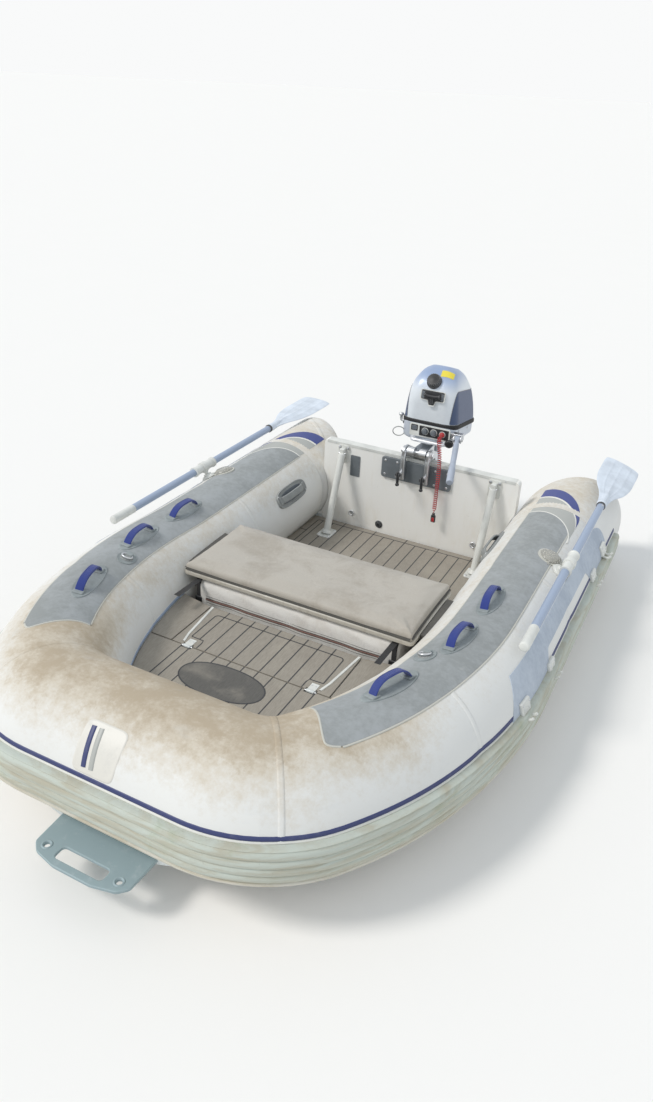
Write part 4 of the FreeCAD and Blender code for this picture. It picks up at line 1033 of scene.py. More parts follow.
def buildCarryHandles():
    look = carryLook
    form = Form("carryHandles", greyMoulding)
    for way in (1, -1):
        skinDisc("carryBase", tubePath.at(look.y), look.angle, look.long, look.wide, 0.004, greyMoulding,
                 0.004, 3.2, (way,))
        form.at = tubePath.frameOn(look.y, look.angle, 0.0, way)
        path = [(look.barHalf * share, 2 + (look.bar - 6) * (1 - share ** 6)) for share in np.linspace(-1, 1,
                                                                                                       33)]
        form.capped(strapRings(path, 30, 9))
        form.slab(oval(176, 52, 40, 3), 1.2, 0.4, start=(0, 0, 3.4), material=darkMoulding)
        for end in (-1, 1):
            form.block((end * 96 - 9, -17, 0), (end * 96 + 9, 17, 10), 4)
            form.bar((end * 104, 21 * end, 3), (end * 104, 21 * end, 8.5), 4, 1, 14, alloy)
    form.piece("moulded_grey", "carry_handles", 50)


# Bow badge: a plain welded panel with two straight stripes.
badgeLook = Look(beyondMiddle=0.018, angle=37.5, long=0.130, wide=0.136,
                 stripes=((-0.034, navyVinyl), (-0.010, arcGrey)))


def buildBadge():
    look = badgeLook
    middle = tubePath.length - look.beyondMiddle
    skinDisc("bowBadge", middle, look.angle, look.long, look.wide, 0.0011, badgeVinyl, 0.0006, 7, (-1,),
             "tube_skin")
    for number, (shift, material) in enumerate(look.stripes):
        path = [(middle + shift + 0.012 * share, look.angle - math.degrees(0.104 * share / tubeLine.radius))
                for share in np.linspace(-0.5, 0.5, 16)]
        skinRibbon("badgeStripe%d" % number, path, 0.016, 0.0024, material, "tube_skin", (-1,))


# Blue-grey pads on the outer sides, joined by a narrower band of the same blue-grey that is partly painted shadow
# of the stowed oar, with the white clips that hold the oars when they are stowed.
padLook = Look(foreY=-0.498, aftY=0.765, upper=46, bandLow=29, padLow=13.5, foreEnd=-0.16, aftStart=0.45,
               rows=120, columns=12)
clipRows = (
    # distance aft, angle
    (-0.422, 17), (-0.157, 14), (0.497, 16), (0.698, 22),
)


def buildOarPads():
    look = padLook
    grid, turns = np.zeros((look.rows, look.columns)), np.zeros((look.rows, look.columns))
    # between the two pads the sheet narrows to a band that is partly painted shadow of the oar on the tube
    for row, y in enumerate(np.linspace(look.aftY, look.foreY, look.rows)):
        ends = [min(1, max(0, past / 0.06)) for past in (look.foreEnd + 0.03 - y, y - look.aftStart + 0.03)]
        share = max(end * end * (3 - 2 * end) for end in ends)
        low = look.bandLow + (look.padLow - look.bandLow) * share
        for column, across in enumerate(np.linspace(0, 1, look.columns)):
            turns[row, column] = low + (look.upper - low) * across
            slant = 0.063 * across * max(0, 1 - (y - look.foreY) / 0.25)
            bent = 0.05 * (2 * abs(across - 0.5)) ** 4 * max(0, (y - look.aftY + 0.2) / 0.2)
            grid[row, column] = tubePath.at(y + slant - bent)
    skinSheet("oarPad", grid, turns, 0.0022, padAndShadowBlue, "white_plastic")
    form = Form("oarClips", whitePlastic)
    for way in (1, -1):
        for y, angle in clipRows:
            form.at = tubePath.frameOn(y, angle, 0.002, way)
            form.block((-32, -20, -4), (32, 24, 10), 5, 3)
            for x in (-16, 16):
                form.tube([(x, 20 + 15.3 * s, 20 - 17 * c) for c, s in arc(-60, 200, 14)], 4.5, 10)
            for x in (-22, 22):
                form.bolt((x, -10, 0), up, 8, 11.8, 3.8, 1, 12, alloy)
    form.piece("white_plastic", "oar_rests", 45)


buildHandles()
buildTowRings()
buildValves()
buildCarryHandles()
buildBadge()
buildOarPads()
print("fittings on the tubes made")


def dressNode(name, material, bevel=0.0):
    # a CAD piece keeps its shape and gets a material and softened edges
    made = bpy.data.objects[name]
    for place in made.material_slots:
        place.material = material
    if bevel:
        made.modifiers.new("joined", "WELD").merge_threshold = 0.0001
        soft = made.modifiers.new("softEdges", "BEVEL")
        soft.width, soft.segments = bevel, 2
        soft.limit_method, soft.angle_limit = "ANGLE", math.radians(35)
        soft.harden_normals = True


def innerContour(height, fromY, lift, count=60):
    # where the tubes' inner sides stand at this height, from aft to the bow's middle
    distances = np.linspace(tubePath.at(fromY / 1000), tubePath.length, count)
    turns = np.linspace(130, 250, 121)
    points = tubePath.skin(*np.meshgrid(distances, turns, indexing="ij"), lift / 1000)[0] * 1000
    contour = []
    for row, distance in zip(points, distances):
        turn = float(np.interp(-height, -row[:, 2], turns))
        contour.append((distance, turn, *(float(np.interp(turn, turns, row[:, axis])) for axis in (0, 1))))
    return contour


def freeHalf(y, z):
    # half the free width between the tubes
    centre = tubePath.frames(np.array([tubePath.at(y / 1000)]))[0][0] * 1000
    return centre[0] - math.sqrt(max(0.0, (tubeLine.radius * 1000) ** 2 - (z - centre[2]) ** 2))


def bothSides(port):
    # an outline from its port half
    return port + [(-x, y) for x, y in reversed(port)]


# Transom with its motor pads, braces, eyes and a bare plate.
transomLook = Look(
    inner=746, outer=786, top=440, bottom=31, half=459, corner=16, cap=12, capLip=1.4, padHalf=165,
    padTop=426, padThick=10.5,
    braceX=357, braceTop=(724, 398), braceFoot=(600, 52), braceRadius=15.8)


def buildTransom():
    look = transomLook
    inner, outer, top = look.inner, look.outer, look.top
    edge = look.half - look.corner
    port = [(min(look.half, freeHalf(inner, z) - 3), z) for z in np.linspace(look.bottom, top - look.corner,
                                                                             31)]
    port += [(edge + look.corner * c, top - look.corner * (1 - s)) for c, s in arc(15, 75, 5)]
    form = Form("transomBoard", transomPaint)
    form.slab(bothSides(port), outer - inner, 2.5, 3, upright, (0, outer, 0))
    form.block((-edge, inner - look.capLip, top - look.cap), (edge, outer + look.capLip, top + look.capLip),
               1.2,
               material=whitePlastic)
    for x in (-400, -240, 240, 400):
        form.bolt((x, inner, top - 6), ahead, 2.8, 0, 2.8, 0.8, 12, alloy)
    # a bare grey plate beside the starboard brace, and a drain's plug low down
    form.plate([rounded(rect(-322, -274, 290, 392), 5)], 2, 0.5, upright, (0, inner, 0), padGrey)
    form.lathe([(19, 0), (17, 3), (12, 4), (10, 8), (1, 8)], (-160, inner, 78), ahead, 32, blackPlastic)
    form.piece("transom_paint", "transom", 35)
    pads = Form("motorPadBoards", padGrey)
    half, thick = look.padHalf, look.padThick
    for low, y, way in ((328, inner, -1), (298, outer, 1)):
        start = (0, y if way < 0 else y + thick, 0)
        pads.plate([rounded(rect(-half, half, low, look.padTop), 12)], thick, 1.8, upright, start)
        for x in (18 - half, -90, 90, half - 18):
            for z in (low + 16, look.padTop - 16):
                pads.lathe([(5.8, 0), (5.5, 1), (3.5, 2.4), (1, 2.5)], (x, y + way * thick, z), (0, way, 0),
                           14, alloy)
    pads.piece("moulded_grey", "motor_pads", 35)


def buildBraces():
    look = transomLook
    form = Form("transomBraces", whitePlastic)
    for x in (look.braceX, -look.braceX):
        form.bar((x, *look.braceFoot), (x, *look.braceTop), look.braceRadius, 6, 32)
        form.plate([rounded(rect(x - 28, x + 28, 350, 432), 10)], 5, 1.2, upright, (0, look.inner, 0))
        for boltX in (x - 20, x + 20):
            form.bolt((boltX, look.inner, 421), ahead, 5, 8.5, 6.5, 1, 18, alloy)
            form.bolt((boltX, look.inner, 421), ahead, 8, 12.5, 3.8, 1, 6, alloy)
        form.block((x - 12, 717, 372), (x + 12, 743, 421), 5, 3)
        form.bolt((x, 724, 398), (1, 0, 0), -17.5, 17.5, 5, 1, 18, alloy)
        form.plate([rounded(rect(x - 34, x + 34, 556, 645), 14)], 5, 1.2, start=(0, 0, 41.5))
        form.lathe([(24, 0), (23, 4), (19, 10), (16.5, 16)], (x, 597.5, 46), (0, 0.335, 0.94))
        for screwX, y in ((x - 24, 568), (x + 24, 568), (x - 24, 634), (x + 24, 634)):
            form.lathe([(6, 0), (5.5, 1.2), (3, 2.6), (1, 2.8)], (screwX, y, 46.5), up, 14, alloy)
    form.piece("white_plastic", "transom_braces", 40)


def buildEyes():
    form = Form("sternEyes", alloy)
    y = transomLook.outer
    for x in (310, -310):
        form.plate([rounded(rect(x - 20, x + 20, -10, 60), 18)], 5, 1.2, upright, (0, y + 5, 0))
        bow = [(x, y + 14 + 20 * s, 25 - 22 * c) for c, s in arc(0, 180, 12)]
        form.tube([(x, y + 2, 3)] + bow + [(x, y + 2, 47)], 4.8, 14)
    form.piece("alloy", "stern_eyes", 40)
    # ring bolts inside, low on the transom
    form = Form("transomRings", alloy)
    for x in (300, -300):
        form.bolt((x, transomLook.inner, 105), ahead, 0, 6, 9, 2, 24)
        form.tube([(x + 11 * s, 735 - 3 * c, 105 - 11 * c) for c, s in circle(24)], 2.8, 10, closed=True)
    form.piece("alloy", sharp=40)


buildTransom()
buildBraces()
buildEyes()
print("transom made")

# Foam decking: a brushed mat with dark caulk lines, a border and T-joints.
matLook = Look(
    deckTop=42, deckFront=-413, deckBack=738, pitch=52.5, lineStart=-7.5, line=4.2, border=35, top=227,
    thick=8, lidHalf=295,
    lidFront=-650, lidBack=-418, hingeX=232, notch=20, aftLine=-453, sideLine=250, bowBorder=30)


def caulkLine(form, points, top, width=matLook.line):
    # a flat line through (x, y) points, a hair above the mat
    line = [Vector(point) for point in points]
    sides = [], []
    for number, point in enumerate(line):
        way = (line[min(len(line) - 1, number + 1)] - line[max(0, number - 1)]).normalized()
        across = Vector((-way.y, way.x)) * width / 2
        sides[0].append(point + across)
        sides[1].append(point - across)
    rows = [[(x, y, top + height) for x, y in side] for side, height in zip((sides[0],) * 2 + (sides[1],) * 2,
                                                                            (-1, 0.4, 0.4, -1))]
    form.grid(np.array(rows) / 1000, caulk)


def lineRows(reach):
    count = int(reach / matLook.pitch)
    return [(number, matLook.lineStart + number * matLook.pitch) for number in range(-count, count + 1)]


def deckSide(y):
    return freeHalf(y, matLook.deckTop) - 3


def buildDeckMat():
    look = matLook
    top, inset = look.deckTop, look.border
    fore, back = look.deckFront + inset, look.deckBack - inset
    form = Form("deckMat", deckFoam)
    port = [(deckSide(y), y) for y in np.linspace(look.deckFront, look.deckBack, 40)]
    form.slab(bothSides(port), 11.5, start=(0, 0, top - 11.5))
    border = rounded(bothSides([(deckSide(y) - inset, y) for y in np.linspace(fore, back, 40)]), 10, 3)
    caulkLine(form, border + border[:1], top)
    for number, x in lineRows(420):
        caulkLine(form, [(x, fore), (x, back)], top)
        if number % 3 == 0:
            caulkLine(form, [(x, back), (x, look.deckBack - 1)], top)
    for y in (100, 340, 580):
        for way in (1, -1):
            caulkLine(form, [(way * (deckSide(y) - inset), y), (way * (deckSide(y) - 2), y)], top)
    form.piece("deck_foam", "deck_mat", 35)


def contourAt(contour, value, given, wanted):
    # the contour's x at this y, or its y at this x
    table = sorted((abs(point[given]) if given == 2 else point[given], point[wanted]) for point in contour)
    return float(np.interp(value, *zip(*table)))


def notched(y, out, way=1):
    # the edge between the lid and the foredeck, with a notch round each hinge
    corners = []
    for middle in (-matLook.hingeX, matLook.hingeX):
        low, high = middle - matLook.notch, middle + matLook.notch
        corners += [(low, y), (low, y + out), (high, y + out), (high, y)]
    return corners


def buildForedeck():
    look = matLook
    top, thick, front, aftEnd = look.top, look.thick, look.lidFront, look.lidBack
    contour = innerContour(top, aftEnd, 1.5)
    port = [point[2:] for point in contour]
    back = front - 5
    bow = [(x, y) for x, y in port if y < front - 6]
    startX = contourAt(contour, back, 3, 2)
    form = Form("foredeckMat", deckFoam)
    outline = [(-startX, back)] + notched(back, -10) + [(startX, back)] + bow + [(-x, y) for x,
                                                                                 y in reversed(bow[:-1])]
    form.plate([outline], thick, 1.2, start=(0, 0, top - thick))
    lidSide = look.lidHalf + 5
    strip = [(lidSide, front + 1), (lidSide, aftEnd - 2)] + [(x, y) for x, y in port if y >= back]
    strip.append((contourAt(contour, front, 3, 2), front + 1))
    for way in (1, -1):
        form.plate([[(way * x, y) for x, y in strip][::-way]], thick, 1.2, start=(0, 0, top - thick))
    # caulk lines ahead of the lid, up to a border that follows the bow
    border = [point[2:] for point in innerContour(top, back - 5, look.bowBorder)]
    bend = [(x, y) for x, y in border if x < look.sideLine - 4]
    bend = [(look.sideLine, back), (look.sideLine, bend[0][1] + 30)] + bend
    caulkLine(form, bothSides(bend), top)
    lines = [x for number, x in lineRows(look.sideLine) if abs(x) < look.sideLine - 8]
    for x in lines:
        reach = float(np.interp(abs(x), *zip(*sorted(bend[1:] + [(0, border[-1][1])]))))
        caulkLine(form, [(x, back), (x, reach)], top)
        caulkLine(form, [(x, reach), (x * 1.02, contourAt(contour, abs(x) * 1.02, 2, 3) + 2)], top)
    inlay = [(u - 28, v - 758) for u, v in oval(300, 150, 48, 2.2)]
    form.plate([inlay], 1.2, 0.4, start=(0, 0, top - 0.4), material=darkFoam)
    caulkLine(form, inlay + inlay[:1], top + 0.6, 5)
    form.piece("deck_foam", "foredeck_mat", 35)
    buildLidMat(lines)
    skinRibbon("edgeTape", [(point[0], point[1] - 2.1) for point in contour], 0.013, 0.0012, edgeTape,
               "tube_skin")


def buildLidMat(lines):
    look = matLook
    top, half, hinge, front, back = look.top, look.lidHalf, look.hingeX, look.lidFront, look.lidBack
    side, aftLine = look.sideLine, look.aftLine
    form = Form("lidMat", deckFoam)
    outline = [(-half, front)] + notched(front, 9) + [(half, front), (half, back), (-half, back)]
    form.plate([outline], look.thick, 1.2, start=(0, 0, top - look.thick))
    # the border's corners are rounded, and it goes round the hinges' notches
    caulkLine(form, rounded([(-side, front + 48), (-side, aftLine), (side, aftLine), (side, front + 48)],
                            (0, 14, 14, 0)), top)
    for way in (1, -1):
        loop = ((side, 48), (hinge - 30, 46), (hinge - 34, 30), (hinge - 34, 0))
        caulkLine(form, [(way * x, front + y) for x, y in loop], top)
    for x in lines:
        caulkLine(form, [(x, front if abs(x) < hinge - 36 else front + 46), (x, aftLine)], top)
        caulkLine(form, [(x, aftLine), (x, back - 1)], top)
    for way in (1, -1):
        strip = ((288.5, back - 2), (268, -593), (257, front + 12))
        rows = [[(way * x + shift, y, top + height) for x, y in strip]
                for shift, height in ((-4.75, -1), (-3.8, 2.2), (3.8, 2.2), (4.75, -1))]
        form.grid(np.array(rows) / 1000, whitePlastic)
    form.piece("deck_foam", "lid_mat", 35, "locker_lid")
    # the hinges: a white leaf on the foredeck, and one on the lid
    leaf = Form("lidHinges", whitePlastic)
    for middle in (-hinge, hinge):
        leaf.block((middle - 13.5, front + 1, top - 9), (middle + 13.5, front + 34, top + 1.6), 1.2)
        leaf.bolt((middle, -655, 226), (1, 0, 0), -13.5, 13.5, 5.2, 1, 20)
        for x in (middle - 7, middle + 7):
            leaf.lathe([(3, 0), (2.6, 0.8), (1, 1)], (x, front + 22, top + 1.4), up, 12, alloy)
    leaf.piece("white_plastic", sharp=35, body="locker_lid")


buildDeckMat()
buildForedeck()
for name, material, bevel in (("bow_locker", hullPaint, 0.0012), ("locker_lid", hullPaint, 0.0010),
                              ("lid_pins", alloy, 0.0), ("hull_shell", hullPaint, 0.003)):
    dressNode(name, material, bevel)
print("decking made")

# Towing plate under the bow: a cast plate with a slot and two ringed holes.
bowLook = Look(bottom=112, thick=10, back=-1330, tip=-1474, holeX=118, holeY=-1430, hole=16.4)


def buildBowPlate():
    look = bowLook
    corners = [(-158, look.back)] + [(x, look.tip + y) for x, y in ((-154, 40), (-130, 16), (-60, 0))]
    corners += [(-x, y) for x, y in reversed(corners)]
    outline = rounded(corners, (0, 20, 30, 50, 50, 30, 20, 0))
    holes = [[(x + u, look.holeY + v) for u, v in oval(look.hole, look.hole)] for x in (-look.holeX,
                                                                                        look.holeX)]
    form = Form("bowPlate", bowAlloy)
    slot = rounded(rect(-78, 78, -1452, -1412)[::-1], 12)
    form.plate([outline, slot] + holes, look.thick, 2.2, start=(0, 0, look.bottom))
    for x in (-look.holeX, look.holeX):
        form.ring((x, look.holeY, look.bottom + look.thick - 0.6), 12.5, 3)
    form.piece("alloy_pale", "bow_plate")


buildBowPlate()
print("bow plate made")

# Seat: a board, a padded cushion with dark trim, and a bag that hangs under it.
seatLook = Look(
    half=0.450, front=-0.376, back=0.004, bottom=0.3102, top=0.3405, boardTop=0.3098, crown=0.006,
    pinch=0.006, slack=0.006,
    voxel=0.0068, pressure=4.0, cap=0.007)
clothLook = {"quality": 6, "mass": 0.3, "tension_stiffness": 18, "compression_stiffness": 6,
             "bending_stiffness": 0.6,
             "use_pressure": True, "uniform_pressure_force": seatLook.pressure, "vertex_group_mass": "held"}


def evaluated(made):
    return made.evaluated_get(bpy.context.evaluated_depsgraph_get())


def pointsOf(mesh):
    return np.array([vert.co for vert in mesh.vertices])


def inflated(made, rest, pinned, cap):
    # pressure cloth, its result written to the mesh, each point held within cap of where it was
    group = made.vertex_groups.new(name="held")
    group.add([int(number) for number in np.nonzero(pinned)[0]], 1.0, "REPLACE")
    cloth = made.modifiers.new("filling", "CLOTH")
    for name, setting in clothLook.items():
        setattr(cloth.settings, name, setting)
    cloth.settings.effector_weights.gravity = 0
    cloth.collision_settings.use_collision = False
    for number in range(1, 21):
        bpy.context.scene.frame_set(number)
    moved = pointsOf(evaluated(made).to_mesh()) - rest
    made.modifiers.clear()
    made.vertex_groups.clear()
    bpy.context.scene.frame_set(1)
    return rest + moved * np.minimum(1, cap / (np.linalg.norm(moved, axis=1)[:, None] + 1e-9))


def buildCushion():
    look = seatLook
    long, wide, high = look.half * 2 - look.slack, look.back - look.front - look.slack, look.top - look.bottom
    middleY, middleZ = (look.back + look.front) / 2, (look.top + look.bottom) / 2
    shape = bmesh.new()
    for vert in bmesh.ops.create_cube(shape, size=1)["verts"]:
        vert.co = (vert.co.x * long, vert.co.y * wide + middleY, vert.co.z * high + middleZ)
    bmesh.ops.bevel(shape, geom=list(shape.edges), offset=0.011, segments=4, profile=0.6, affect="EDGES")
    block = bpy.data.meshes.new("seatBlock")
    shape.to_mesh(block)
    shape.free()
    made = bpy.data.objects.new("seatCushion", block)
    bpy.context.scene.collection.objects.link(made)
    change = made.modifiers.new("evenFaces", "REMESH")
    change.mode, change.voxel_size = "VOXEL", look.voxel
    bpy.context.view_layer.update()
    made.data = bpy.data.meshes.new_from_object(evaluated(made))
    made.modifiers.clear()
    bpy.data.meshes.remove(block)
    points = pointsOf(made.data)
    points = inflated(made, points, points[:, 2] < look.bottom + 0.003, look.cap)
    x, y, z = points.T
    across, along = x / look.half, (y - middleY) / ((look.back - look.front) / 2)
    raised = np.clip((z - look.bottom) / (look.top - look.bottom), 0, 1.2)
    # crowned over its middle, its sides pulled in between the corners, and sat on in two places
    z += look.crown * np.clip(1 - across ** 4, 0, 1) * np.clip(1 - along ** 4, 0, 1) * raised
    y -= along * look.pinch * np.clip(1 - across ** 2, 0, 1)
    x -= across * look.pinch * np.clip(1 - along ** 2, 0, 1)
    for sitX in (-0.2, 0.22):
        z -= 0.0045 * np.exp(-((x - sitX) / 0.13) ** 2 - ((y - middleY) / 0.11) ** 2) * raised
    z += 0.0006 * np.sin(x * 46 + 3 * np.sin(y * 23)) * np.sin(y * 61 + 1.3) * raised
    z[:] = np.maximum(z, look.boardTop + 0.0003)
    mesh = made.data
    mesh.vertices.foreach_set("co", points.astype(np.float32).ravel())
    mesh.materials.clear()
    mesh.materials.append(seatCloth)
    mesh.polygons.foreach_set("use_smooth", [True] * len(mesh.polygons))
    finer = made.modifiers.new("smoother", "SUBSURF")
    finer.levels = finer.render_levels = 1
    settle(made, "hull", "seat_cushion")
    return BVHTree.FromPolygons([Vector(point) for point in points],
                                [tuple(face.vertices) for face in mesh.polygons])


def onSurface(tree, start, way, rise=0):
    # the point of a soft piece that this ray meets, in millimetres
    place, normal, index, distance = tree.ray_cast(Vector(start) / 1000, Vector(way))
    return place * 1000 + normal * rise if place else Vector(start)


def flatStrap(form, line, wide, thick, out, material):
    # webbing along points, which faces out
    rows = []
    out = Vector(out).normalized()
    for number, point in enumerate(line):
        way = (Vector(line[min(len(line) - 1, number + 1)]) - Vector(line[max(0, number - 1)])).normalized()
        across = way.cross(out).normalized()
        section = (-0.5, 0), (-0.47, 0.9), (-0.2, 1), (0.2, 1), (0.47, 0.9), (0.5, 0), (0.4, -0.3), (-0.4,
                                                                                                     -0.3)
        rows.append([(Vector(point) + across * (u * wide) + out * (v * thick)) / 1000 for u, v in section])
    form.capped(rows, material)


def buildSeatTrim(tree):
    half, front, back, top = (1000 * seatLook[name] for name in ("half", "front", "back", "top"))
    form = Form("seatTrim", trimCloth)
    # a charcoal strip on the front's upper edge, and piping on the back and the two ends
    xs = np.linspace(12 - half, half - 12, 90)
    flatStrap(form, [onSurface(tree, (x, front - 50, top + 40), (0, 1, -1)) for x in xs], 17, 1.6, (0, -1, 1),
              trimCloth)
    form.tube([onSurface(tree, (x, back + 50, top + 43), (0, -1, -1)) for x in xs], 2.6, 8)
    ys = np.linspace(front + 12, back - 12, 50)
    for side in (-1, 1):
        line = [onSurface(tree, (side * (half + 50), y, top + 40), (-side, 0, -1)) for y in ys]
        flatStrap(form, line, 13, 1.5, (side, 0, 1), trimCloth)
    form.piece("seat_fabric", sharp=50)


bagLook = Look(half=398, middleY=-203.25, halfY=169.25, top=291.5, middleZ=198.75, halfZ=92.75, zip=216,
               corner=7, sag=12)


def bagSection(share):
    # a rounded box section in YZ that bulges at the sides and sags between its straps
    look = bagLook
    x = look.half * share
    end = max(0.0, abs(share) - 0.90) / 0.10
    tuck = 1 - 0.10 * end ** 2
    ring = []
    for c, s in circle(64):
        y, z = squared(c, 2 / look.corner), squared(s, 2 / look.corner)
        low = look.sag * max(0.0, -z)
        sagging = low * (0.5 + 0.5 * math.cos(5 * math.pi * share)) * (1 - y * y * 0.5) - low * 0.4
        fold = 2.2 * math.sin(0.031 * x + 2.1 * math.sin(9 * z)) * (1 - abs(z))
        fold += 1.5 * math.sin(0.057 * x + 7 * z)
        wide = look.halfY * (0.965 + 0.030 * (1 - z * z)) * tuck
        deep = look.middleZ + z * look.halfZ * tuck - sagging
        ring.append((x, look.middleY + y * wide + fold * (1 if y > 0 else -1), min(deep, look.top)))
    return ring


def buildBag():
    rings = np.array([bagSection(share) for share in np.linspace(-1, 1, 81)])

    def cap(ring, share, bulge):
        middle = ring.mean(axis=0)
        return middle + (ring - middle) * share + np.array([bulge * 6 * (1 - share * share), 0, 0])

    starts = [cap(rings[0], share, -1) for share in (0.03, 0.5, 0.9)]
    finish = [cap(rings[-1], share, 1) for share in (0.9, 0.5, 0.03)]
    form = Form("seatBag", bagCloth)
    form.capped(np.concatenate([starts, rings, finish]) / 1000)
    form.skin("seat_fabric", "seat_bag", 80)
    buildBagDetails(form.tree())


def buildBagDetails(tree):
    zipZ = bagLook.zip
    form = Form("bagDetails", trimCloth)

    def frontLine(z, reach, rise=0.4):
        return [onSurface(tree, (x, -500, z), aft, rise) for x in np.linspace(-reach, reach, 70)]

    # a zip across the front, webbing down both ends and a binding along the bottom
    zipLine = frontLine(zipZ, 352)
    flatStrap(form, zipLine, 11, 1, ahead, trimCloth)
    form.tube([point + Vector((0, -1.4, 0)) for point in zipLine], 2, 8, zipBrown)
    for rise in (12, -13):
        form.tube(frontLine(zipZ + rise, 352, 0.2), 0.8, 6)
    form.tube(frontLine(126, 365), 2.4, 8)
    for x in (-384, 384):
        strap = [onSurface(tree, (x, -500, z), aft, 1.2) for z in np.linspace(290, 115, 24)]
        flatStrap(form, strap, 22, 1.6, ahead, blackCloth)
        buckle = onSurface(tree, (x, -500, 205), aft, 3)
        form.block(buckle - Vector((15, 5, 11)), buckle + Vector((15, 2, 11)), material=blackPlastic)
    puller = onSurface(tree, (340, -500, zipZ), aft, 3)
    form.block(puller - Vector((3, 3, 16)), puller + Vector((3, 1, 2)), 1, material=alloy)
    form.piece("seat_fabric", sharp=50)


seatTree = buildCushion()
buildSeatTrim(seatTree)
buildBag()
board = Form("seatBoard", benchWood)
board.plate([rounded(rect(-449, 449, -370.5, 0), 18)], 17.3, 3.5, start=(0, 0, 292.5))
board.piece("bench_board", "seat_bench")
dressNode("seat_holders", trimCloth, 0.0015)
print("seat made")

# Motor. Its cowl is a stack of rounded rectangles that narrows and leans back towards the top.
cowlLook = Look(
    front=815, back=1140, half=125, bottom=593, top=815, slopes=(9, 18), straight=14, bend=12, capLean=45,
    gripZ=713, gripLean=14,
    capPoint=(4, 854, 760), panelEnds=(0.40, 0.80),
    sections=(
        # share of the height, inset at the sides, front and back, corner radius
        (0.00, 0, 0, 0, 62), (0.25, 5, 1, 0, 61), (0.50, 12, 4, 2, 60), (0.62, 17, 9, 5, 58),
        (0.71, 22, 17, 8, 56),
        (0.79, 28, 29, 14, 53), (0.855, 36, 45, 22, 50), (0.91, 44, 61, 32, 47), (0.955, 53, 78, 44, 44),
        (0.985, 64, 95, 60, 39), (1.00, 76, 112, 76, 34)))
cowlPlaces = np.linspace(0, 1, 44) ** 0.85


def leanedRing(half, front, back, corner, z, slope, hinge):
    # a rounded rectangle from the front's middle round by port, which falls towards the stern from its hinge;
    # every ring has the same count
    straight, bend = cowlLook.straight, cowlLook.bend
    arcs = []
    for x, y, begin in ((half - corner, front + corner, -90), (half - corner, back - corner, 0),
                        (corner - half, back - corner, 90), (corner - half, front + corner, 180)):
        arcs.append([(x + corner * c, y + corner * s) for c, s in arc(begin, 90, bend)])
    ring = []
    previous = (0, front)
    for after in arcs + [[(0, front)]]:
        ring += [np.add(previous, np.subtract(after[0],
                                              previous) * step / straight) for step in range(straight)]
        ring += after[:-1]
        previous = after[-1]
    c, s = math.cos(math.radians(slope)), math.sin(math.radians(slope))
    return np.array([(x, hinge + (y - hinge) * c, z - (y - hinge) * s) for x, y in ring]) / 1000


def smoothRows(rows, places):
    # a smooth curve through rows of numbers whose first column is the place
    table = np.array(rows, float)
    xs, ys = table[:, 0], table[:, 1:]
    slopes = np.gradient(ys, xs, axis=0)
    out = []
    for x in places:
        number = min(len(xs) - 2, max(0, int(np.searchsorted(xs, x)) - 1))
        step = xs[number + 1] - xs[number]
        t = (x - xs[number]) / step
        a, b = 2 * t ** 3 - 3 * t ** 2 + 1, t ** 3 - 2 * t ** 2 + t
        out.append(a * ys[number] + b * step * slopes[number] + (1 - a) * ys[number + 1]
                   + (t ** 3 - t ** 2) * step * slopes[number + 1])
    return np.array(out)


def cowlRings(places, lift=0):
    look = cowlLook
    low, high = look.slopes
    rings = []
    for place, (sideIn, frontIn, backIn, corner) in zip(places, smoothRows(look.sections, places)):
        front, z = look.front + frontIn, look.bottom + place * (look.top - look.bottom)
        rings.append(leanedRing(look.half - sideIn + lift, front - lift, look.back - backIn + lift,
                                corner + lift, z,
                                low + place * (high - low), front))
    return rings


def sampled(rings, rows, columns, lift):
    # points on a stack of rings, lifted along its normal
    across = (np.roll(rings, -1, axis=1) - np.roll(rings, 1, axis=1)) / 2
    normal = np.cross(across, np.gradient(rings, axis=0))
    normal /= np.linalg.norm(normal, axis=-1, keepdims=True) + 1e-12
    r0 = np.clip(np.floor(rows).astype(int), 0, len(rings) - 2)
    c0 = np.floor(columns).astype(int)
    c1 = (c0 + 1) % rings.shape[1]
    u, v = (rows - r0)[..., None], (columns - c0)[..., None]
    field = rings + normal * lift
    low = field[r0, c0] * (1 - v) + field[r0, c1] * v
    high = field[r0 + 1, c0] * (1 - v) + field[r0 + 1, c1] * v
    return low * (1 - u) + high * u


def buildCowl():
    rings = cowlRings(cowlPlaces)
    middle = rings[-1].mean(axis=0)
    closing = [middle + (rings[-1] - middle) * share + np.array([0, 0, rise])
               for share, rise in ((0.93, 0.0016), (0.80, 0.0030), (0.55, 0.0040), (0.25, 0.0045),
                                   (0.03, 0.0046))]
    form = Form("cowl", cowlPaint)
    form.capped(np.array(cowlRings([0.0], -6) + rings + closing))
    form.skin("motor_silver", "cowl_cover", 60, "motor")
    buildCowlTrim(np.array(rings), form.tree())


def sidePanelTop(share):
    # the panel's edge climbs behind the front corner, then rises slowly and turns down at the back
    climb = 1 - (1 - min(1, share / 0.24)) ** 2.6
    return 0.06 + 0.60 * climb + 0.12 * share - 0.30 * max(0, (share - 0.84) / 0.16) ** 1.8


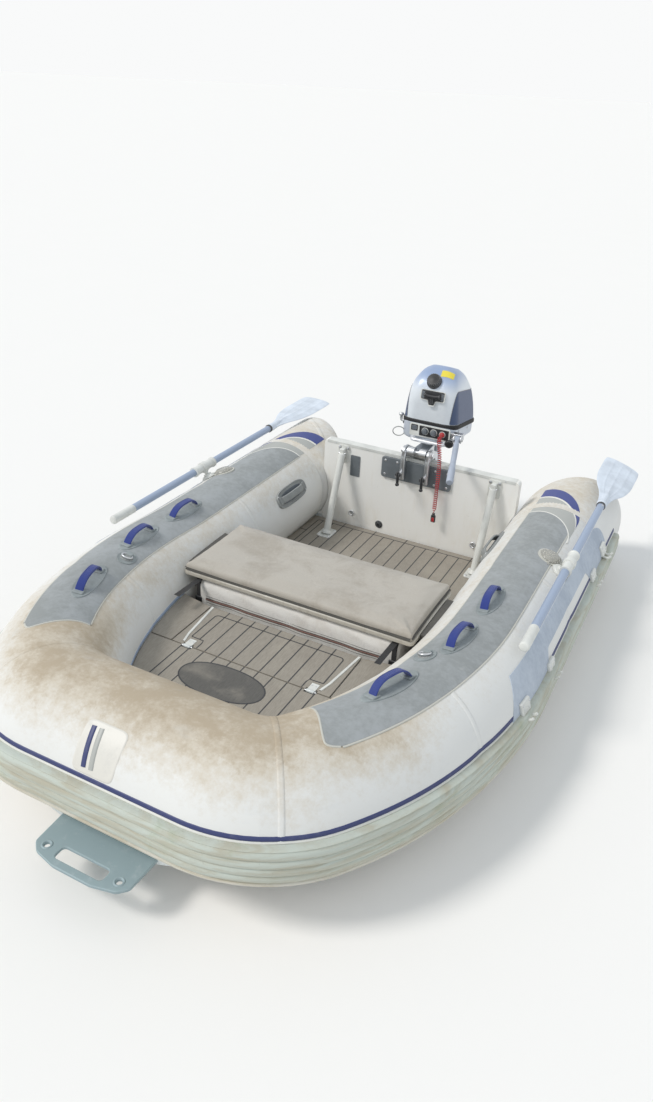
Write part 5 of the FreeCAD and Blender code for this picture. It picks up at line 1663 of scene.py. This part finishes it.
def buildCowlTrim(surface, tree):
    look = cowlLook
    first = look.straight + look.bend * look.panelEnds[0]
    last = look.straight * 2 + look.bend * (1 + look.panelEnds[1])
    form = Form("cowlTrim", whitePlastic)
    grid = []
    for share in np.linspace(0, 1, 40):
        rows = np.interp(np.linspace(0.030, sidePanelTop(share), 16), cowlPlaces, np.arange(len(cowlPlaces)))
        grid.append(sampled(surface, rows, np.full(16, first + (last - first) * share), 0.0007))
    for side, way, placed in sidesOf(np.array(grid)):
        form.grid(placed, motorSide, flip=way < 0)
        form.tube(placed[:, -1] * 1000, 1.1, 6, blackPlastic)
    # a blank yellow sticker on the shoulder beside the fuel cap
    way = Vector((-0.14, 0.50, -0.85)).normalized()
    right = Vector((0.98, 0.12, 0)).normalized()
    upward = way.cross(right).normalized()
    corner = Vector((48, 884, 800)) - way * 100
    rows = [[onSurface(tree, corner + right * u + upward * v, way, 0.6) / 1000 for u in np.linspace(-28, 28,
                                                                                                    12)]
            for v in np.linspace(-18, 18, 8)]
    form.grid(rows, stickerYellow)
    # the starter's recess is a pale rim round a dark T, with the grip across it
    c, s = math.cos(math.radians(look.gripLean)), math.sin(math.radians(look.gripLean))
    axes = ((1, 0, 0), (0, s, c))
    start = onSurface(tree, (14, look.front - 50, look.gripZ), aft, 3)
    outline = [(56, 24), (56, -20), (18, -22), (12, -44), (-14, -44), (-20, -22), (-56, -20), (-56, 24)]
    inner = rounded([(x * 0.93, y * 0.90) for x, y in outline], 6)
    form.plate([rounded(outline, 7), inner], 3.2, 1, axes, start)
    form.plate([inner], 1.4, 0.4, axes, start, blackPlastic)
    form.piece("motor_silver", "", 45, "motor", weighted=False)
    turned = Matrix(((1, 0, 0, 0), (0, s, -c, 0), (0, c, s, 0), (0, 0, 0, 1)))
    grip = Form("starterGrip", blackPlastic, Matrix.Translation(start / 1000) @ turned)
    grip.tube([(-33, 0.9, 11), (-18, -1.8, 11), (0, -2.7, 11), (18, -1.8, 11), (33, 0.9, 11)], 8.5, 20,
              flat=0.8, upward=up)
    for end in (-1, 1):
        grip.lathe([(8, 0), (7.4, 3), (5, 5.5), (1, 6.8)], (end * 33, 1, 11), (end, 0.08, 0), 20)
    grip.lathe([(10, 0), (9, 4), (6.5, 8), (6, 12)], (0, -3, 0), up, 24)
    grip.block((-7, -33, 1), (6, -4, 7), 2)
    for x in (-44, 44):
        grip.block((x - 6, -14, 1), (x + 6, 15, 2.4), 1, material=darkMoulding)
    grip.piece("motor_black", "starter_grip", 40, "motor")


def buildFuelCap():
    lean = math.radians(cowlLook.capLean)
    way = Vector((0, -math.sin(lean), math.cos(lean)))
    start = Vector(cowlLook.capPoint) + way * 6
    form = Form("fuelCap", blackPlastic)
    form.lathe([(33, 0), (33, 7), (29.5, 9.5), (28.8, 24), (26.2, 28.5), (13, 29.5), (11, 30.5), (1, 31)],
               start, way, 40)
    side = way.orthogonal().normalized()
    other = way.cross(side)
    for c, s in circle(20):
        out = side * c + other * s
        form.bar(start + out * 28.8 + way * 10.5, start + out * 28.4 + way * 25, 1.9, 0.8, 8)
    form.piece("motor_black", "fuel_cap", 40, "motor")


def buildSeal():
    look = cowlLook
    form = Form("cowlSeal", blackRubber)
    form.capped([leanedRing(look.half + lift, look.front - lift, look.back + lift, 62 + lift, z,
                            look.slopes[0], look.front)
                 for z, lift in ((576.5, -4), (577, 1.4), (580, 4.2), (587, 5.2), (594, 4.4), (598, 1.8),
                                 (598.8, -3))])
    form.skin("motor_black", "cowl_seal", 50, "motor")


panLook = Look(
    low=506, high=584, half=122, front=807.5, back=1137, hinge=815, barEnds=((-56, 1), (94, -1)), barZ=514,
    # share of the height, lift, corner radius
    rings=((0.00, -16, 46), (0.01, -10, 50), (0.07, -3.5, 55), (0.16, -0.5, 58), (0.40, 0, 58), (0.70, 0, 58),
           (0.97, -1, 57),
           (1.00, -4, 54)))


def buildPan():
    look = panLook
    form = Form("motorPan", motorSilver)
    form.capped([leanedRing(look.half + lift, look.front - lift, look.back + lift, corner,
                            look.low + share * (look.high - look.low), 5 + 4 * share, look.hinge)
                 for share, lift, corner in look.rings])
    z = look.barZ
    low, high = ([(x + way * inward, y, z) for inward, y in ((0, 822), (0, 800), (3, 792.5), (10, 789))]
                 for x, way in look.barEnds)
    form.tube(low + [(x, 789, z) for x in (-30, 0, 30, 60)] + high[::-1], 7.8, 20, barSilver, upward=up)
    for x, way in look.barEnds:
        form.lathe([(13, 0), (12, 4), (8.5, 7)], (x, 812, z), ahead, 24, barSilver)
    # bolts under the joint, and a latch at the back
    for x, y in ((121.5, 900), (121.5, 1020), (-121.5, 960), (-121.5, 1050)):
        form.bolt((x, y, look.high - 22 - (y - look.hinge) * 0.16), (math.copysign(1, x), 0, 0), -3, 3.2, 5.5,
                  material=alloy)
    form.block((-22, 1126, 500), (22, 1137, 528), 3, 3, blackPlastic)
    form.block((-12, 1134, 506), (12, 1139.5, 520), 2, 2, alloy)
    form.piece("motor_silver", "lower_pan", 42, "motor")


def buildPanel():
    form = Form("controlPanel", whitePlastic)
    for outline, y, depth, material, radius, bevel in (
            ((-73, 114, 525.5, 582.5), 809.5, 6, whitePlastic, 7, 1.2),
            ((-67, -35, 550, 578), 804.5, 2.2, blackPlastic, 4, 0.8),
            ((-27.5, 108.5, 532, 578), 804.5, 2.2, blackPlastic, 4, 0.8),
            ((-62, -40, 555, 573), 802.5, 1.5, darkMoulding, 3, 0.5)):
        form.plate([rounded(rect(*outline), radius)], depth, bevel, upright, (0, y, 0), material)
    y, z = 802.2, 556
    for x, radius, deep, material in ((0, 12.5, 12.5, darkMoulding), (40, 12.5, 12.5, darkMoulding),
                                      (80, 11, 9.5, stickerRed)):
        form.ring((x, y - 0.4, z), radius + 2.2, 1.3, 6, 28, upright)
        profile = [(radius, 0), (radius, deep - 3), (radius - 1.2, deep - 0.8), (radius - 3, deep),
                   (1, deep + 0.4)]
        form.lathe(profile, (x, y, z), ahead, 32, material)
        form.block((x - 2.2, y - deep - 1.8, z - radius * 0.8), (x + 2.2, y - deep + 1, z + radius * 0.8),
                   0.9, 2, material)
    form.piece("motor_black", "control_panel", 40, "motor")


def buildLever():
    # latch and lever on the starboard side
    form = Form("shiftLever", alloy)
    x, y, z = -137, 855, 564
    form.tube([(x + 28, y, z), (x + 10, y, z), (x + 2, y, z + 3), (x, y, z + 12), (x, y, z + 26)], 6.2, 18)
    form.lathe([(7, 0), (10, 2), (11.8, 6.5), (10, 11.5), (5.5, 14), (1, 14.6)], (x, y, z + 21.5), up, 28)
    form.lathe([(13, 0), (12, 3), (9, 4)], (x + 16.5, y, z), (-1, 0, 0), 24)
    form.piece("alloy", "shift_lever", 45, "motor")


mountLook = Look(tiltY=735, tiltZ=478, steerY=870, top=440, pad=797)


def buildClamp():
    form = Form("clampBracket", alloy)
    look = mountLook
    tiltY, tiltZ, top, pad = look.tiltY, look.tiltZ, look.top, look.pad
    outline = [(tiltY - 28, 346), (tiltY - 10, 346), (tiltY - 10, top + 6), (pad + 0.4, top + 6),
               (pad + 0.4, 250), (pad + 34, 250),
               (pad + 34, tiltZ - 18), (tiltY + 22, tiltZ + 20), (tiltY - 14, tiltZ + 20),
               (tiltY - 28, tiltZ + 8)]
    outline = rounded(outline, (7, 2, 12, 4, 4, 14, 30, 18, 18, 14))
    for low, face in ((-62, -62), (50, 62)):
        form.plate([outline], 12, 2.8, lengthways, (low, 0, 0))
        # a rib and a boss stand on each plate's outer face
        way = math.copysign(1, low)
        form.lathe([(20, 0), (19, 4), (14, 7.5), (1, 8)], (face, tiltY, tiltZ), (way, 0, 0), 30)
        form.lathe([(11.5, 0), (11.5, 6), (9, 6.8)], (face + way * 5.5, tiltY, tiltZ), (way, 0, 0), 6)
        x, y = low + 6, tiltY - 18.5
        arm = [(x, y, z) for z in (352, 372, 392, 412, 432)]
        form.tube(arm + [(x, y + 0.5, 448), (x, y + 3.5, 462), (x, y + 9.5, 474), (x, tiltY, 482)], 12.2, 20)
        form.lathe([(12.2, 0), (11, 4), (1, 6)], (x, y, 352), down, 20)
    form.bolt((0, tiltY, tiltZ), (1, 0, 0), -52, 52, 8.8, 1, 24)
    form.block((-55, pad + 0.4, 255), (55, pad + 13.5, 300), 4, 3)
    for x in (-38, 38):
        form.bolt((x, pad, 278), aft, 12, 18.5, 7.5)
    form.piece("alloy", "clamp_bracket")
    screws = Form("clampScrews", blackPlastic)
    thread = [(6.2, 0)]
    for start in np.arange(9) * 3.6:
        thread += [(7, start + 2), (6.2, start + 3.8)]
    for x in (-56, 56):
        screws.lathe(thread, (x, tiltY - 28.5, 385), ahead, 24, alloy)
        screws.lathe([(8, 0), (12, 2), (12, 8.5), (9, 11), (1, 11.5)], (x, tiltY - 60.5, 385), ahead, 28)
        screws.tube([(x, tiltY - 67.5, z) for z in (400, 388, 375, 360, 348, 340)], 6.2, 18)
        screws.lathe([(6.2, 0), (8.2, 2), (8.8, 7), (6.5, 10.5), (1, 11.5)], (x, tiltY - 67.5, 344), down, 24)
    screws.piece("motor_black", "clamp_screws", 40)


def buildSwivel():
    form = Form("swivelBracket", alloy)
    look = mountLook
    tiltY, tiltZ, steerY = look.tiltY, look.tiltZ, look.steerY
    for low in (-43.5, 12):
        form.lathe([(9.8, 0), (21.5, 0), (22, 2), (22, 29.5), (21.5, 31.5), (9.8, 31.5)], (low, tiltY, tiltZ),
                   (1, 0, 0), 36)
    arm = rounded([(tiltY + 4, -36), (steerY, -30), (steerY, 30), (tiltY + 4, 36)], 10)
    form.slab(arm, 30, 6, 3, ((0, 1, 0), (1, 0, 0)), (0, 0, tiltZ + 4))
    web = [(tiltY + 12, tiltZ - 20), (steerY - 8, 300), (steerY - 2, 300), (steerY - 2, tiltZ - 16)]
    for x in (-29, 23):
        form.slab(web, 6, 1.8, 2, lengthways, (x, 0, 0))
    form.lathe([(15, 0), (27, 0), (28, 3), (28, 18), (25, 24), (24.5, 208), (27.5, 215), (28, 220), (28, 235),
                (26.5, 238),
                (15, 238)], (0, steerY, 250), up, 40)
    form.piece("alloy", "swivel_bracket", body="motor_swivel")


def finStack(form, rows, power=1.0, count=48):
    # pointed ovals, fullest ahead of their middles: z, front, back, half width and the ends' power
    rings = []
    for z, front, back, half, *own in rows:
        ring = []
        for c, s in circle(count):
            share = (1 - c) / 2
            ring.append((squared(s, own[0] if own else power) * (1.10 - 0.25 * share) * half,
                         front + (back - front) * share, z))
        rings.append(ring)
    form.capped(np.array(rings) / 1000)


def buildLeg():
    form = Form("driveLeg", legSilver)
    y = mountLook.steerY
    finStack(form, ((498.5, 906, 988, 34, 0.42), (485, 906, 984, 31, 0.42), (430, 905, 982, 30, 0.45),
                    (340, 904, 982, 30, 0.50),
                    (260, 903, 984, 30, 0.55)))
    finStack(form, ((245, 852, 986, 28, 0.6), (240, 848, 989, 32.5, 0.62), (210, 847, 990, 33, 0.75),
                    (130, 848, 989, 31, 0.9),
                    (50, 849, 989, 29), (-10, 849, 989, 30), (-28, 848, 990, 33)))
    form.bar((0, y, 212), (0, y, 248.5), 25.5, 4, 36)
    form.bar((0, y, 491.5), (0, y, 504), 33.5, 3, 40)
    for z in (290, 460):
        for way in (-1, 1):
            form.bolt((0, 945, z), (way, 0, 0), 28, 33.5, 6, material=alloy)
    form.piece("motor_silver", "drive_leg", 48, "motor", repair=True)
    case = Form("gearcase", legSilver)
    vent = [(-24, 826), (24, 826), (70, 930), (70, 1060), (-70, 1060), (-70, 930)]
    case.plate([rounded(vent, (12, 12, 50, 30, 30, 50))], 6, 1.8, start=(0, 0, -34))
    finStack(case, ((-34, 848, 982, 26), (-50, 850, 979, 20.5), (-110, 851, 978, 19.5),
                    (-160, 850, 979, 20.5), (-190, 848, 982, 24)))
    bullet = [(1, 0), (10, 1.5), (18, 7), (25, 18), (29.5, 33), (31.8, 51), (32, 85), (32, 180), (30.5, 197),
              (27, 209), (24.5, 214)]
    case.lathe(bullet, (0, 785, propLook.z), aft, 44)
    case.bar((0, 990, propLook.z), (0, 1049.5, propLook.z), 6.8, 1, 24, alloy)
    finStack(case, ((-222, 878, 978, 7.5), (-250, 886, 974, 4.8), (-290, 900, 967, 4), (-318, 910, 962, 3.4),
                    (-327.5, 918, 955, 2.2)), 0.8, 40)
    for x in (-19, 19):
        for z in np.arange(5) * -13 - 85:
            case.block((x - 3, 905, z - 2.2), (x + 3, 930, z + 2.2), 1, material=blackPlastic)
    # a trim tab of zinc under the plate
    tab = rounded([(1016, -75), (1046, -75), (1050, -36), (1005, -36)], 6)
    case.slab(tab, 6, 1.5, 2, lengthways, (3, 0, 0), bowAlloy)
    case.piece("motor_silver", "gearcase", 42, "motor", repair=True)


propLook = Look(y=1022, z=-200, hub=21, reach=95, pitch=150, chord=64, thick=4.2)


def buildPropeller():
    look = propLook
    form = Form("propeller", legSilver, Matrix.Translation((0, 0, look.z / 1000)))
    form.lathe([(7.5, 1000.8), (19.5, 1000.8), (look.hub, 1003), (look.hub, 1040), (18, 1051), (12, 1056.5),
                (7.5, 1057.2)],
               (0, 0, 0), aft, 40)
    for blade in range(3):
        turned = Matrix.Rotation(math.radians(120 * blade), 4, "Y")
        shells = [], []
        for shell, side in zip(shells, (1, -1)):
            for r in np.linspace(look.hub - 4, look.reach, 16):
                share = (r - look.hub) / (look.reach - look.hub)
                chord = look.chord * math.sqrt(max(0.02, 1 - (1.55 * share - 0.72) ** 2))
                slope = math.atan(look.pitch / (2 * math.pi * max(r, 20)))
                row = []
                for u in np.linspace(-0.5, 0.5, 14):
                    across = u * chord
                    swing = across * math.cos(slope) / max(r, 15) + 0.18 * share ** 2
                    thick = look.thick * (1 - share * 0.6) * (1 - (2 * u) ** 2) ** 0.7 / 2 + 0.4
                    y = look.y + across * math.sin(slope) * 0.8 + 6 * share + side * thick
                    row.append(turned @ Vector((r * math.sin(swing), y, r * math.cos(swing))) / 1000)
                shell.append(row)
        form.capped(np.concatenate([shells[0], np.array(shells[1])[:, ::-1]], axis=1))
    form.bolt((0, 0, 0), aft, 1050.5, 1058.5, 9.5, 1.5, material=alloy)
    form.piece("motor_silver", "propeller", 45, "propeller", repair=True)


tillerLook = Look(pivot=(150, 800, 551), way=(68, -250, -75))


def buildTiller():
    pivot = Vector(tillerLook.pivot)
    way = Vector(tillerLook.way).normalized()
    pin = Vector((-way.y, way.x, 0)).normalized()
    form = Form("tillerBracket", alloy)
    for near, far, radius, bevel, sides in ((10.6, 19.2, 16.8, 3, 32), (-19.2, -10.6, 16.8, 3, 32),
                                            (-22.5, 22.5, 5.8, 1.2, 20),
                                            (19, 24, 9.5, 1.2, 6)):
        form.bolt(pivot, pin, near, far, radius, bevel, sides)
    for x, side in ((158, 1), (120, -1)):
        root = Vector((x, 835, pivot.z))
        form.tube([pivot + pin * side * 17.5, pivot.lerp(root, 0.5) + pin * side * 6, root], 6.6)
    form.slab(rounded(rect(101.5, 166.5, 819.5, 848.5), 8), 29, 4, 3, start=(0, 0, pivot.z - 14.5))
    form.piece("alloy", "tiller_bracket", 40, "motor")
    arm = Form("tillerArm", armGrey)
    arm.lathe([(6.4, 0), (14, 0), (15, 1.5), (15, 18), (14, 19.6), (6.4, 19.6)], pivot - pin * 9.8, pin, 36)
    arm.lathe([(8.5, 0), (9.6, 8), (10, 18), (12.2, 25), (12.2, 68), (11.8, 138), (12.2, 178), (11.2, 183.5),
               (1, 183.8)],
              pivot + way * 12, way, 36)
    arm.piece("alloy", "tiller_arm", 45, "tiller")
    grip = Form("tillerGrip", armGrey)
    profile = [(10.5, 0), (13.8, 1.5), (14.6, 5)]
    for start in np.arange(10) * 7.8 + 10:
        profile += [(13.6, start), (14.8, start + 1.8), (14.8, start + 5), (13.6, start + 6.6)]
    grip.lathe(profile + [(14.4, 90), (14.8, 94), (12.8, 97.5), (1, 98.2)], pivot + way * 194, way, 36)
    grip.piece("moulded_grey", "tiller_grip", 50, "tiller")


# Stop cord, in metres: a curly cord that hangs from the red knob, with a black clip on its end.
cordLook = Look(
    route=((0.080, 0.792, 0.556), (0.080, 0.768, 0.556), (0.092, 0.740, 0.532), (0.106, 0.724, 0.490),
           (0.113, 0.715, 0.405),
           (0.112, 0.711, 0.305), (0.112, 0.711, 0.222)),
    diameter=0.0034, coil=0.0078, pitch=0.0088, lead=0.030, tail=0.022, perTurn=14, detail=24)


def routeMesh(points, detail, thick=0.0):
    # a NURBS line through its control points, bare or as a tube
    curve = bpy.data.curves.new("cordRoute", "CURVE")
    curve.dimensions = "3D"
    curve.resolution_u = detail
    curve.bevel_depth = thick / 2
    curve.bevel_resolution = 2
    curve.use_fill_caps = True
    spline = curve.splines.new("NURBS")
    spline.points.add(len(points) - 1)
    for point, place in zip(spline.points, points):
        point.co = (*place, 1)
    spline.order_u = 3
    spline.use_endpoint_u = True
    holder = bpy.data.objects.new("cordRoute", curve)
    mesh = bpy.data.meshes.new_from_object(holder)
    bpy.data.objects.remove(holder)
    bpy.data.curves.remove(curve)
    return mesh


def smoothRoute(points, detail):
    mesh = routeMesh(points, detail)
    line = pointsOf(mesh)
    bpy.data.meshes.remove(mesh)
    apart = np.linalg.norm(np.diff(line, axis=0), axis=1) > 1e-6
    return line[np.insert(apart, 0, True)]


def buildStopCord():
    look = cordLook
    line = smoothRoute(look.route, look.detail)
    steps = np.insert(np.cumsum(np.linalg.norm(np.diff(line, axis=0), axis=1)), 0, 0)
    turns = (steps[-1] - look.lead - look.tail) / look.pitch
    count = int(turns * look.perTurn)

    def lineAt(along):
        return Vector([float(np.interp(along, steps, line[:, axis])) for axis in range(3)])

    helix = [Vector(line[0])]
    side = None
    for number in range(count + 1):
        share = number / count
        along = look.lead * 0.3 + (steps[-1] - look.lead * 0.3 - look.tail * 0.4) * share
        centre = lineAt(along)
        way = (lineAt(along + 0.002) - centre).normalized()
        side = (side - way * side.dot(way) if side else way.orthogonal()).normalized()
        turn = 2 * math.pi * turns * share
        radius = look.coil * min(1, share / 0.05,
                                 (1 - share) / 0.04) * (1 + 0.06 * math.sin(5 * share * math.pi))
        helix.append(centre + (side * math.cos(turn) + way.cross(side) * math.sin(turn)) * radius)
    helix.append(Vector(line[-1]))
    path = smoothRoute(helix, 1)
    mesh = routeMesh(helix, 1, look.diameter)
    mesh.materials.clear()
    mesh.materials.append(cordRed)
    mesh.polygons.foreach_set("use_smooth", [True] * len(mesh.polygons))
    cord = bpy.data.objects.new("stopCord", mesh)
    bpy.context.scene.collection.objects.link(cord)
    settle(cord, "motor", "stop_lanyard")
    length = float(np.linalg.norm(np.diff(path, axis=0), axis=1).sum())
    clip = buildClip(*(Vector(look.route[-1]) * 1000))
    for made in (cord, clip):
        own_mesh(made)


def buildClip(x, y, z):
    form = Form("cordClip", blackPlastic)
    form.lathe([(4.5, 0), (6.6, 2), (6.6, 8), (4.5, 11)], (x, y, z + 3), down, 20)
    outline = [(x + u, z + v) for u, v in ((-10.5, -42), (10.5, -42), (10.5, -10), (4, -4), (-4, -4),
                                           (-10.5, -10))]
    form.slab(rounded(outline, 4), 8.4, 2.2, 3, upright, (0, y + 4.2, 0))
    form.slab(rounded(rect(x - 6, x + 6, z - 38, z - 18), 3), 1.2, 0.4, 1, upright, (0, y - 4, 0), stickerRed)
    return form.piece("motor_black", "lanyard_clip", 40, "motor")


def buildCables():
    # short cables and a knob between the pan and the bracket
    form = Form("motorCables", blackRubber)
    form.tube([(24 * c - 130, 820 + 10 * c, 524 + 21 * s) for c, s in arc(20, 320, 29)], 2.2, 8, greyMoulding)
    hose = [(86, 838, 512), (90, 826, 504), (88, 824, 499.5), (76, 832, 498.5), (60, 850, 498.5),
            (45, 880, 498.5), (36, 905, 498.5)]
    form.tube(hose, 3.8, 12)
    form.lathe([(8, 0), (8, 6), (19, 8), (20, 14), (17, 19), (1, 19.5)], (112, 814, 524),
               (0.25, -0.90, -0.25), 30, blackPlastic)
    form.piece("motor_black", "", 45, "motor")


for build in (buildCowl, buildFuelCap, buildSeal, buildPan, buildPanel, buildLever, buildClamp, buildSwivel,
              buildLeg,
              buildPropeller, buildTiller, buildStopCord, buildCables):
    build()
dressNode("engine_block", darkMoulding, 0.003)
print("motor made")

# Oars on their rowlocks. Each is made lying along y with the rowlock at the origin.
oarLook = Look(
    place=(0.790, 0.250, 0.402), angle=56.25, shaft=15, front=-590, neck=550, tip=1050, half=81.5, slant=12,
    turns={"Port": 70, "Starboard": 90}, thick=5.2, standoff=51,
    # share of the blade's length, share of its half width
    widths=((0.00, 0.24), (0.12, 0.30), (0.22, 0.42), (0.38, 0.78), (0.54, 0.96), (0.75, 1.00), (0.94, 1.00),
            (1.00, 0.97)))


def oarPlace(side, angle=oarLook.angle):
    c, s = math.cos(math.radians(angle)), math.sin(math.radians(angle))
    x, y, z = oarLook.place
    port = Matrix(((s, 0, c, x), (0, 1, 0, y), (-c, 0, s, z), (0, 0, 0, 1)))
    return port if side > 0 else Matrix.Diagonal((-1, 1, 1, 1)) @ port


def bladeRows(over):
    # the upper or lower face of the blade, with three ribs along it
    look = oarLook
    shares = np.linspace(0, 1, 46)
    rows = []
    for share, half in zip(shares, smoothRows(look.widths, shares)[:, 0] * look.half):
        tip = max(0, (share - 0.80) / 0.20)
        row = []
        for u in np.linspace(-1, 1, 41):
            y = look.neck + (look.tip - look.neck) * share - look.slant * tip ** 1.6 * (0.5 - 0.5 * u)
            y -= 8 * tip ** 3 * u ** 4
            thick = look.thick / 2 * (1 - abs(u) ** 6) ** 0.5 + 0.6
            spine = 10.5 * max(0, 1 - share / 0.62) ** 1.2 * math.exp(-(u * half / 13) ** 2)
            ribs = sum(1.7 * math.exp(-((u - middle) / 0.055) ** 2) for middle in (-0.48, 0.0, 0.48))
            ribs *= min(1, share / 0.25) * min(1, (1 - share) / 0.05)
            cup = 6 * (share * (1 - (u * 0.9) ** 2) - 0.4 * share)
            row.append((u * half, y, cup + over * (thick + spine + ribs)))
        rows.append(row)
    return np.array(rows) / 1000


def buildOar(name, side):
    look = oarLook
    at = oarPlace(side)
    front, radius, neck = look.front, look.shaft, look.neck
    body = "oar_" + name.lower()
    shaft = Form("oar" + name + "Shaft", whitePlastic, at)
    shaft.bar((0, front + 117.5, 0), (0, neck + 40, 0), radius, 1, 32, oarBlue)
    # a sleeve with two collars, the eye that turns on the pin, and the pin
    sleeve = [(radius + 0.2, 0), (21.2, 0), (22, 3), (22, 9), (19.2, 11.5), (18.8, 30), (19, 112),
              (19.2, 128.5), (22, 131),
              (22, 137), (21.2, 140), (radius + 0.2, 140)]
    shaft.lathe(sleeve, (0, -70, 0), aft, 40)
    shaft.lathe([(19, 0), (22.2, 1.2), (23, 5), (23, 25), (22.2, 28.8), (19, 30)], (0, -15, 0), aft, 40)
    shaft.lathe([(12, 0), (10.5, 4), (8, 9), (8, 20)], (0, 0, -19.5), down, 28)
    shaft.bar((0, 0, -32), (0, 0, -20), 7.8, 1, 24, alloy)
    # a push button and the coupling's ring near the blade
    shaft.lathe([(4.2, 0), (3.8, 2.2), (1, 3)], (0, neck - 20, radius - 0.5), up, 16, alloy)
    shaft.lathe([(radius, 0), (18.5, 1), (19, 4), (18.5, 10), (radius, 11)], (0, neck - 9, 0), aft, 36,
                blackRubber)
    shaft.piece("alloy", body + "_shaft", 42, body)
    grip = Form("oar" + name + "Grip", whitePlastic, at)
    profile = [(1, 0), (12, 0.4), (16, 2.8), (17, 7.5), (16.6, 15), (16, 21)]
    for start in np.arange(6) * 14.5 + 26:
        profile += [(16, start), (16.6, start + 2.2), (16.6, start + 9.5), (16, start + 11.8)]
    grip.lathe(profile + [(16.6, 113), (16.8, 117.5), (15.5, 120)], (0, front, 0), aft, 40)
    grip.piece("white_plastic", body + "_grip", 50, body)
    blade = Form("oar" + name + "Blade", bladeWhite, oarPlace(side, look.turns[name]))
    blade.capped(np.concatenate([bladeRows(1), bladeRows(-1)[:, ::-1]], axis=1))
    socket = [(15.5, 0), (17.2, 1), (18, 4), (18, 30), (16.8, 36), (16, 70), (12.8, 105), (8.5, 140),
              (4, 168), (1, 172)]
    blade.lathe(socket, (0, neck, 0), aft, 40)
    blade.piece("white_plastic", body + "_blade", 50, body, repair=True)
    return at


def buildOars():
    foot = Form("rowlockBases", whitePlastic)
    for name, side in (("Port", 1), ("Starboard", -1)):
        foot.at = buildOar(name, side)
        profile = [(33.5, 0), (33.5, 2.2), (30, 3.2), (29, 7.5), (24, 10.5), (17.5, 12.5), (16.5, 17.2),
                   (15.5, 18.2), (8.6, 18.2),
                   (8.6, 8)]
        foot.lathe(profile, (0, 0, 0.6 - oarLook.standoff), up, 44)
        for c, s in arc(45, 270, 3):
            foot.bolt((26.2 * c, 26.2 * s, 6 - oarLook.standoff), up, 0, 3.4, 2.8, 0.8, 12, alloy)
    foot.piece("white_plastic", "rowlock_bases", 42)


buildOars()
print("oars made")


# Camera, light and the water's plane, which is a plain pale floor.
def makeFloor():
    finish = Finish("paleFloor", water.colour)
    finish.lay(finish.noise(2.2, 3, 0.5) * 0.3, toward(water.colour, 0, 0.03))
    mesh = bpy.data.meshes.new("paleFloor")
    mesh.from_pydata([(x, y, 0) for x, y in rect(-water.reach, water.reach, -water.reach, water.reach)], [],
                     [range(4)])
    mesh.materials.append(finish.paint(0.9))
    floor = bpy.data.objects.new("paleFloor", mesh)
    bpy.context.scene.collection.objects.link(floor)


def makeSky():
    world = bpy.data.worlds.new("softDaylight")
    bpy.context.scene.world = world
    world.use_nodes = True
    tree = world.node_tree
    tree.nodes.clear()
    join = tree.links.new
    rays = tree.nodes.new("ShaderNodeLightPath")
    share = rays.outputs["Is Camera Ray"]
    for kind in ("Glossy", "Transmission"):
        either = tree.nodes.new("ShaderNodeMath")
        either.operation = "MAXIMUM"
        join(share, either.inputs[0])
        join(rays.outputs["Is %s Ray" % kind], either.inputs[1])
        share = either.outputs[0]
    both = tree.nodes.new("ShaderNodeMixShader")
    join(share, both.inputs[0])
    for number, (colour, strength) in enumerate(((daylight.skyColour, daylight.sky), (water.horizon, 1)), 1):
        ground = tree.nodes.new("ShaderNodeBackground")
        ground.inputs["Color"].default_value = (*colour, 1)
        ground.inputs["Strength"].default_value = strength
        join(ground.outputs[0], both.inputs[number])
    join(both.outputs[0], tree.nodes.new("ShaderNodeOutputWorld").inputs[0])


def makeSun():
    light = bpy.data.lights.new("softSun", "SUN")
    light.energy, light.color = daylight.sun, daylight.sunColour
    light.angle = math.radians(daylight.softness)
    sun = bpy.data.objects.new("softSun", light)
    sun.rotation_euler = Euler((math.radians(daylight.lean), 0, math.radians(daylight.round)))
    bpy.context.scene.collection.objects.link(sun)


def makeCamera():
    lens = bpy.data.cameras.new("photoView")
    lens.lens, lens.sensor_width, lens.clip_end = view.lens, 36, view.furthest
    camera = bpy.data.objects.new("photoView", lens)
    camera.matrix_world = (
        Matrix.Translation(view.place) @ Matrix.Rotation(math.radians(view.yaw), 4, "Z")
        @ Matrix.Rotation(math.radians(90 - view.pitch), 4, "X") @ Matrix.Rotation(math.radians(view.roll), 4,
                                                                                   "Z"))
    bpy.context.scene.collection.objects.link(camera)
    bpy.context.scene.camera = camera


makeFloor()
makeSky()
makeSun()
makeCamera()
bpy.context.scene.view_settings.view_transform = "Standard"
print("camera and light placed")
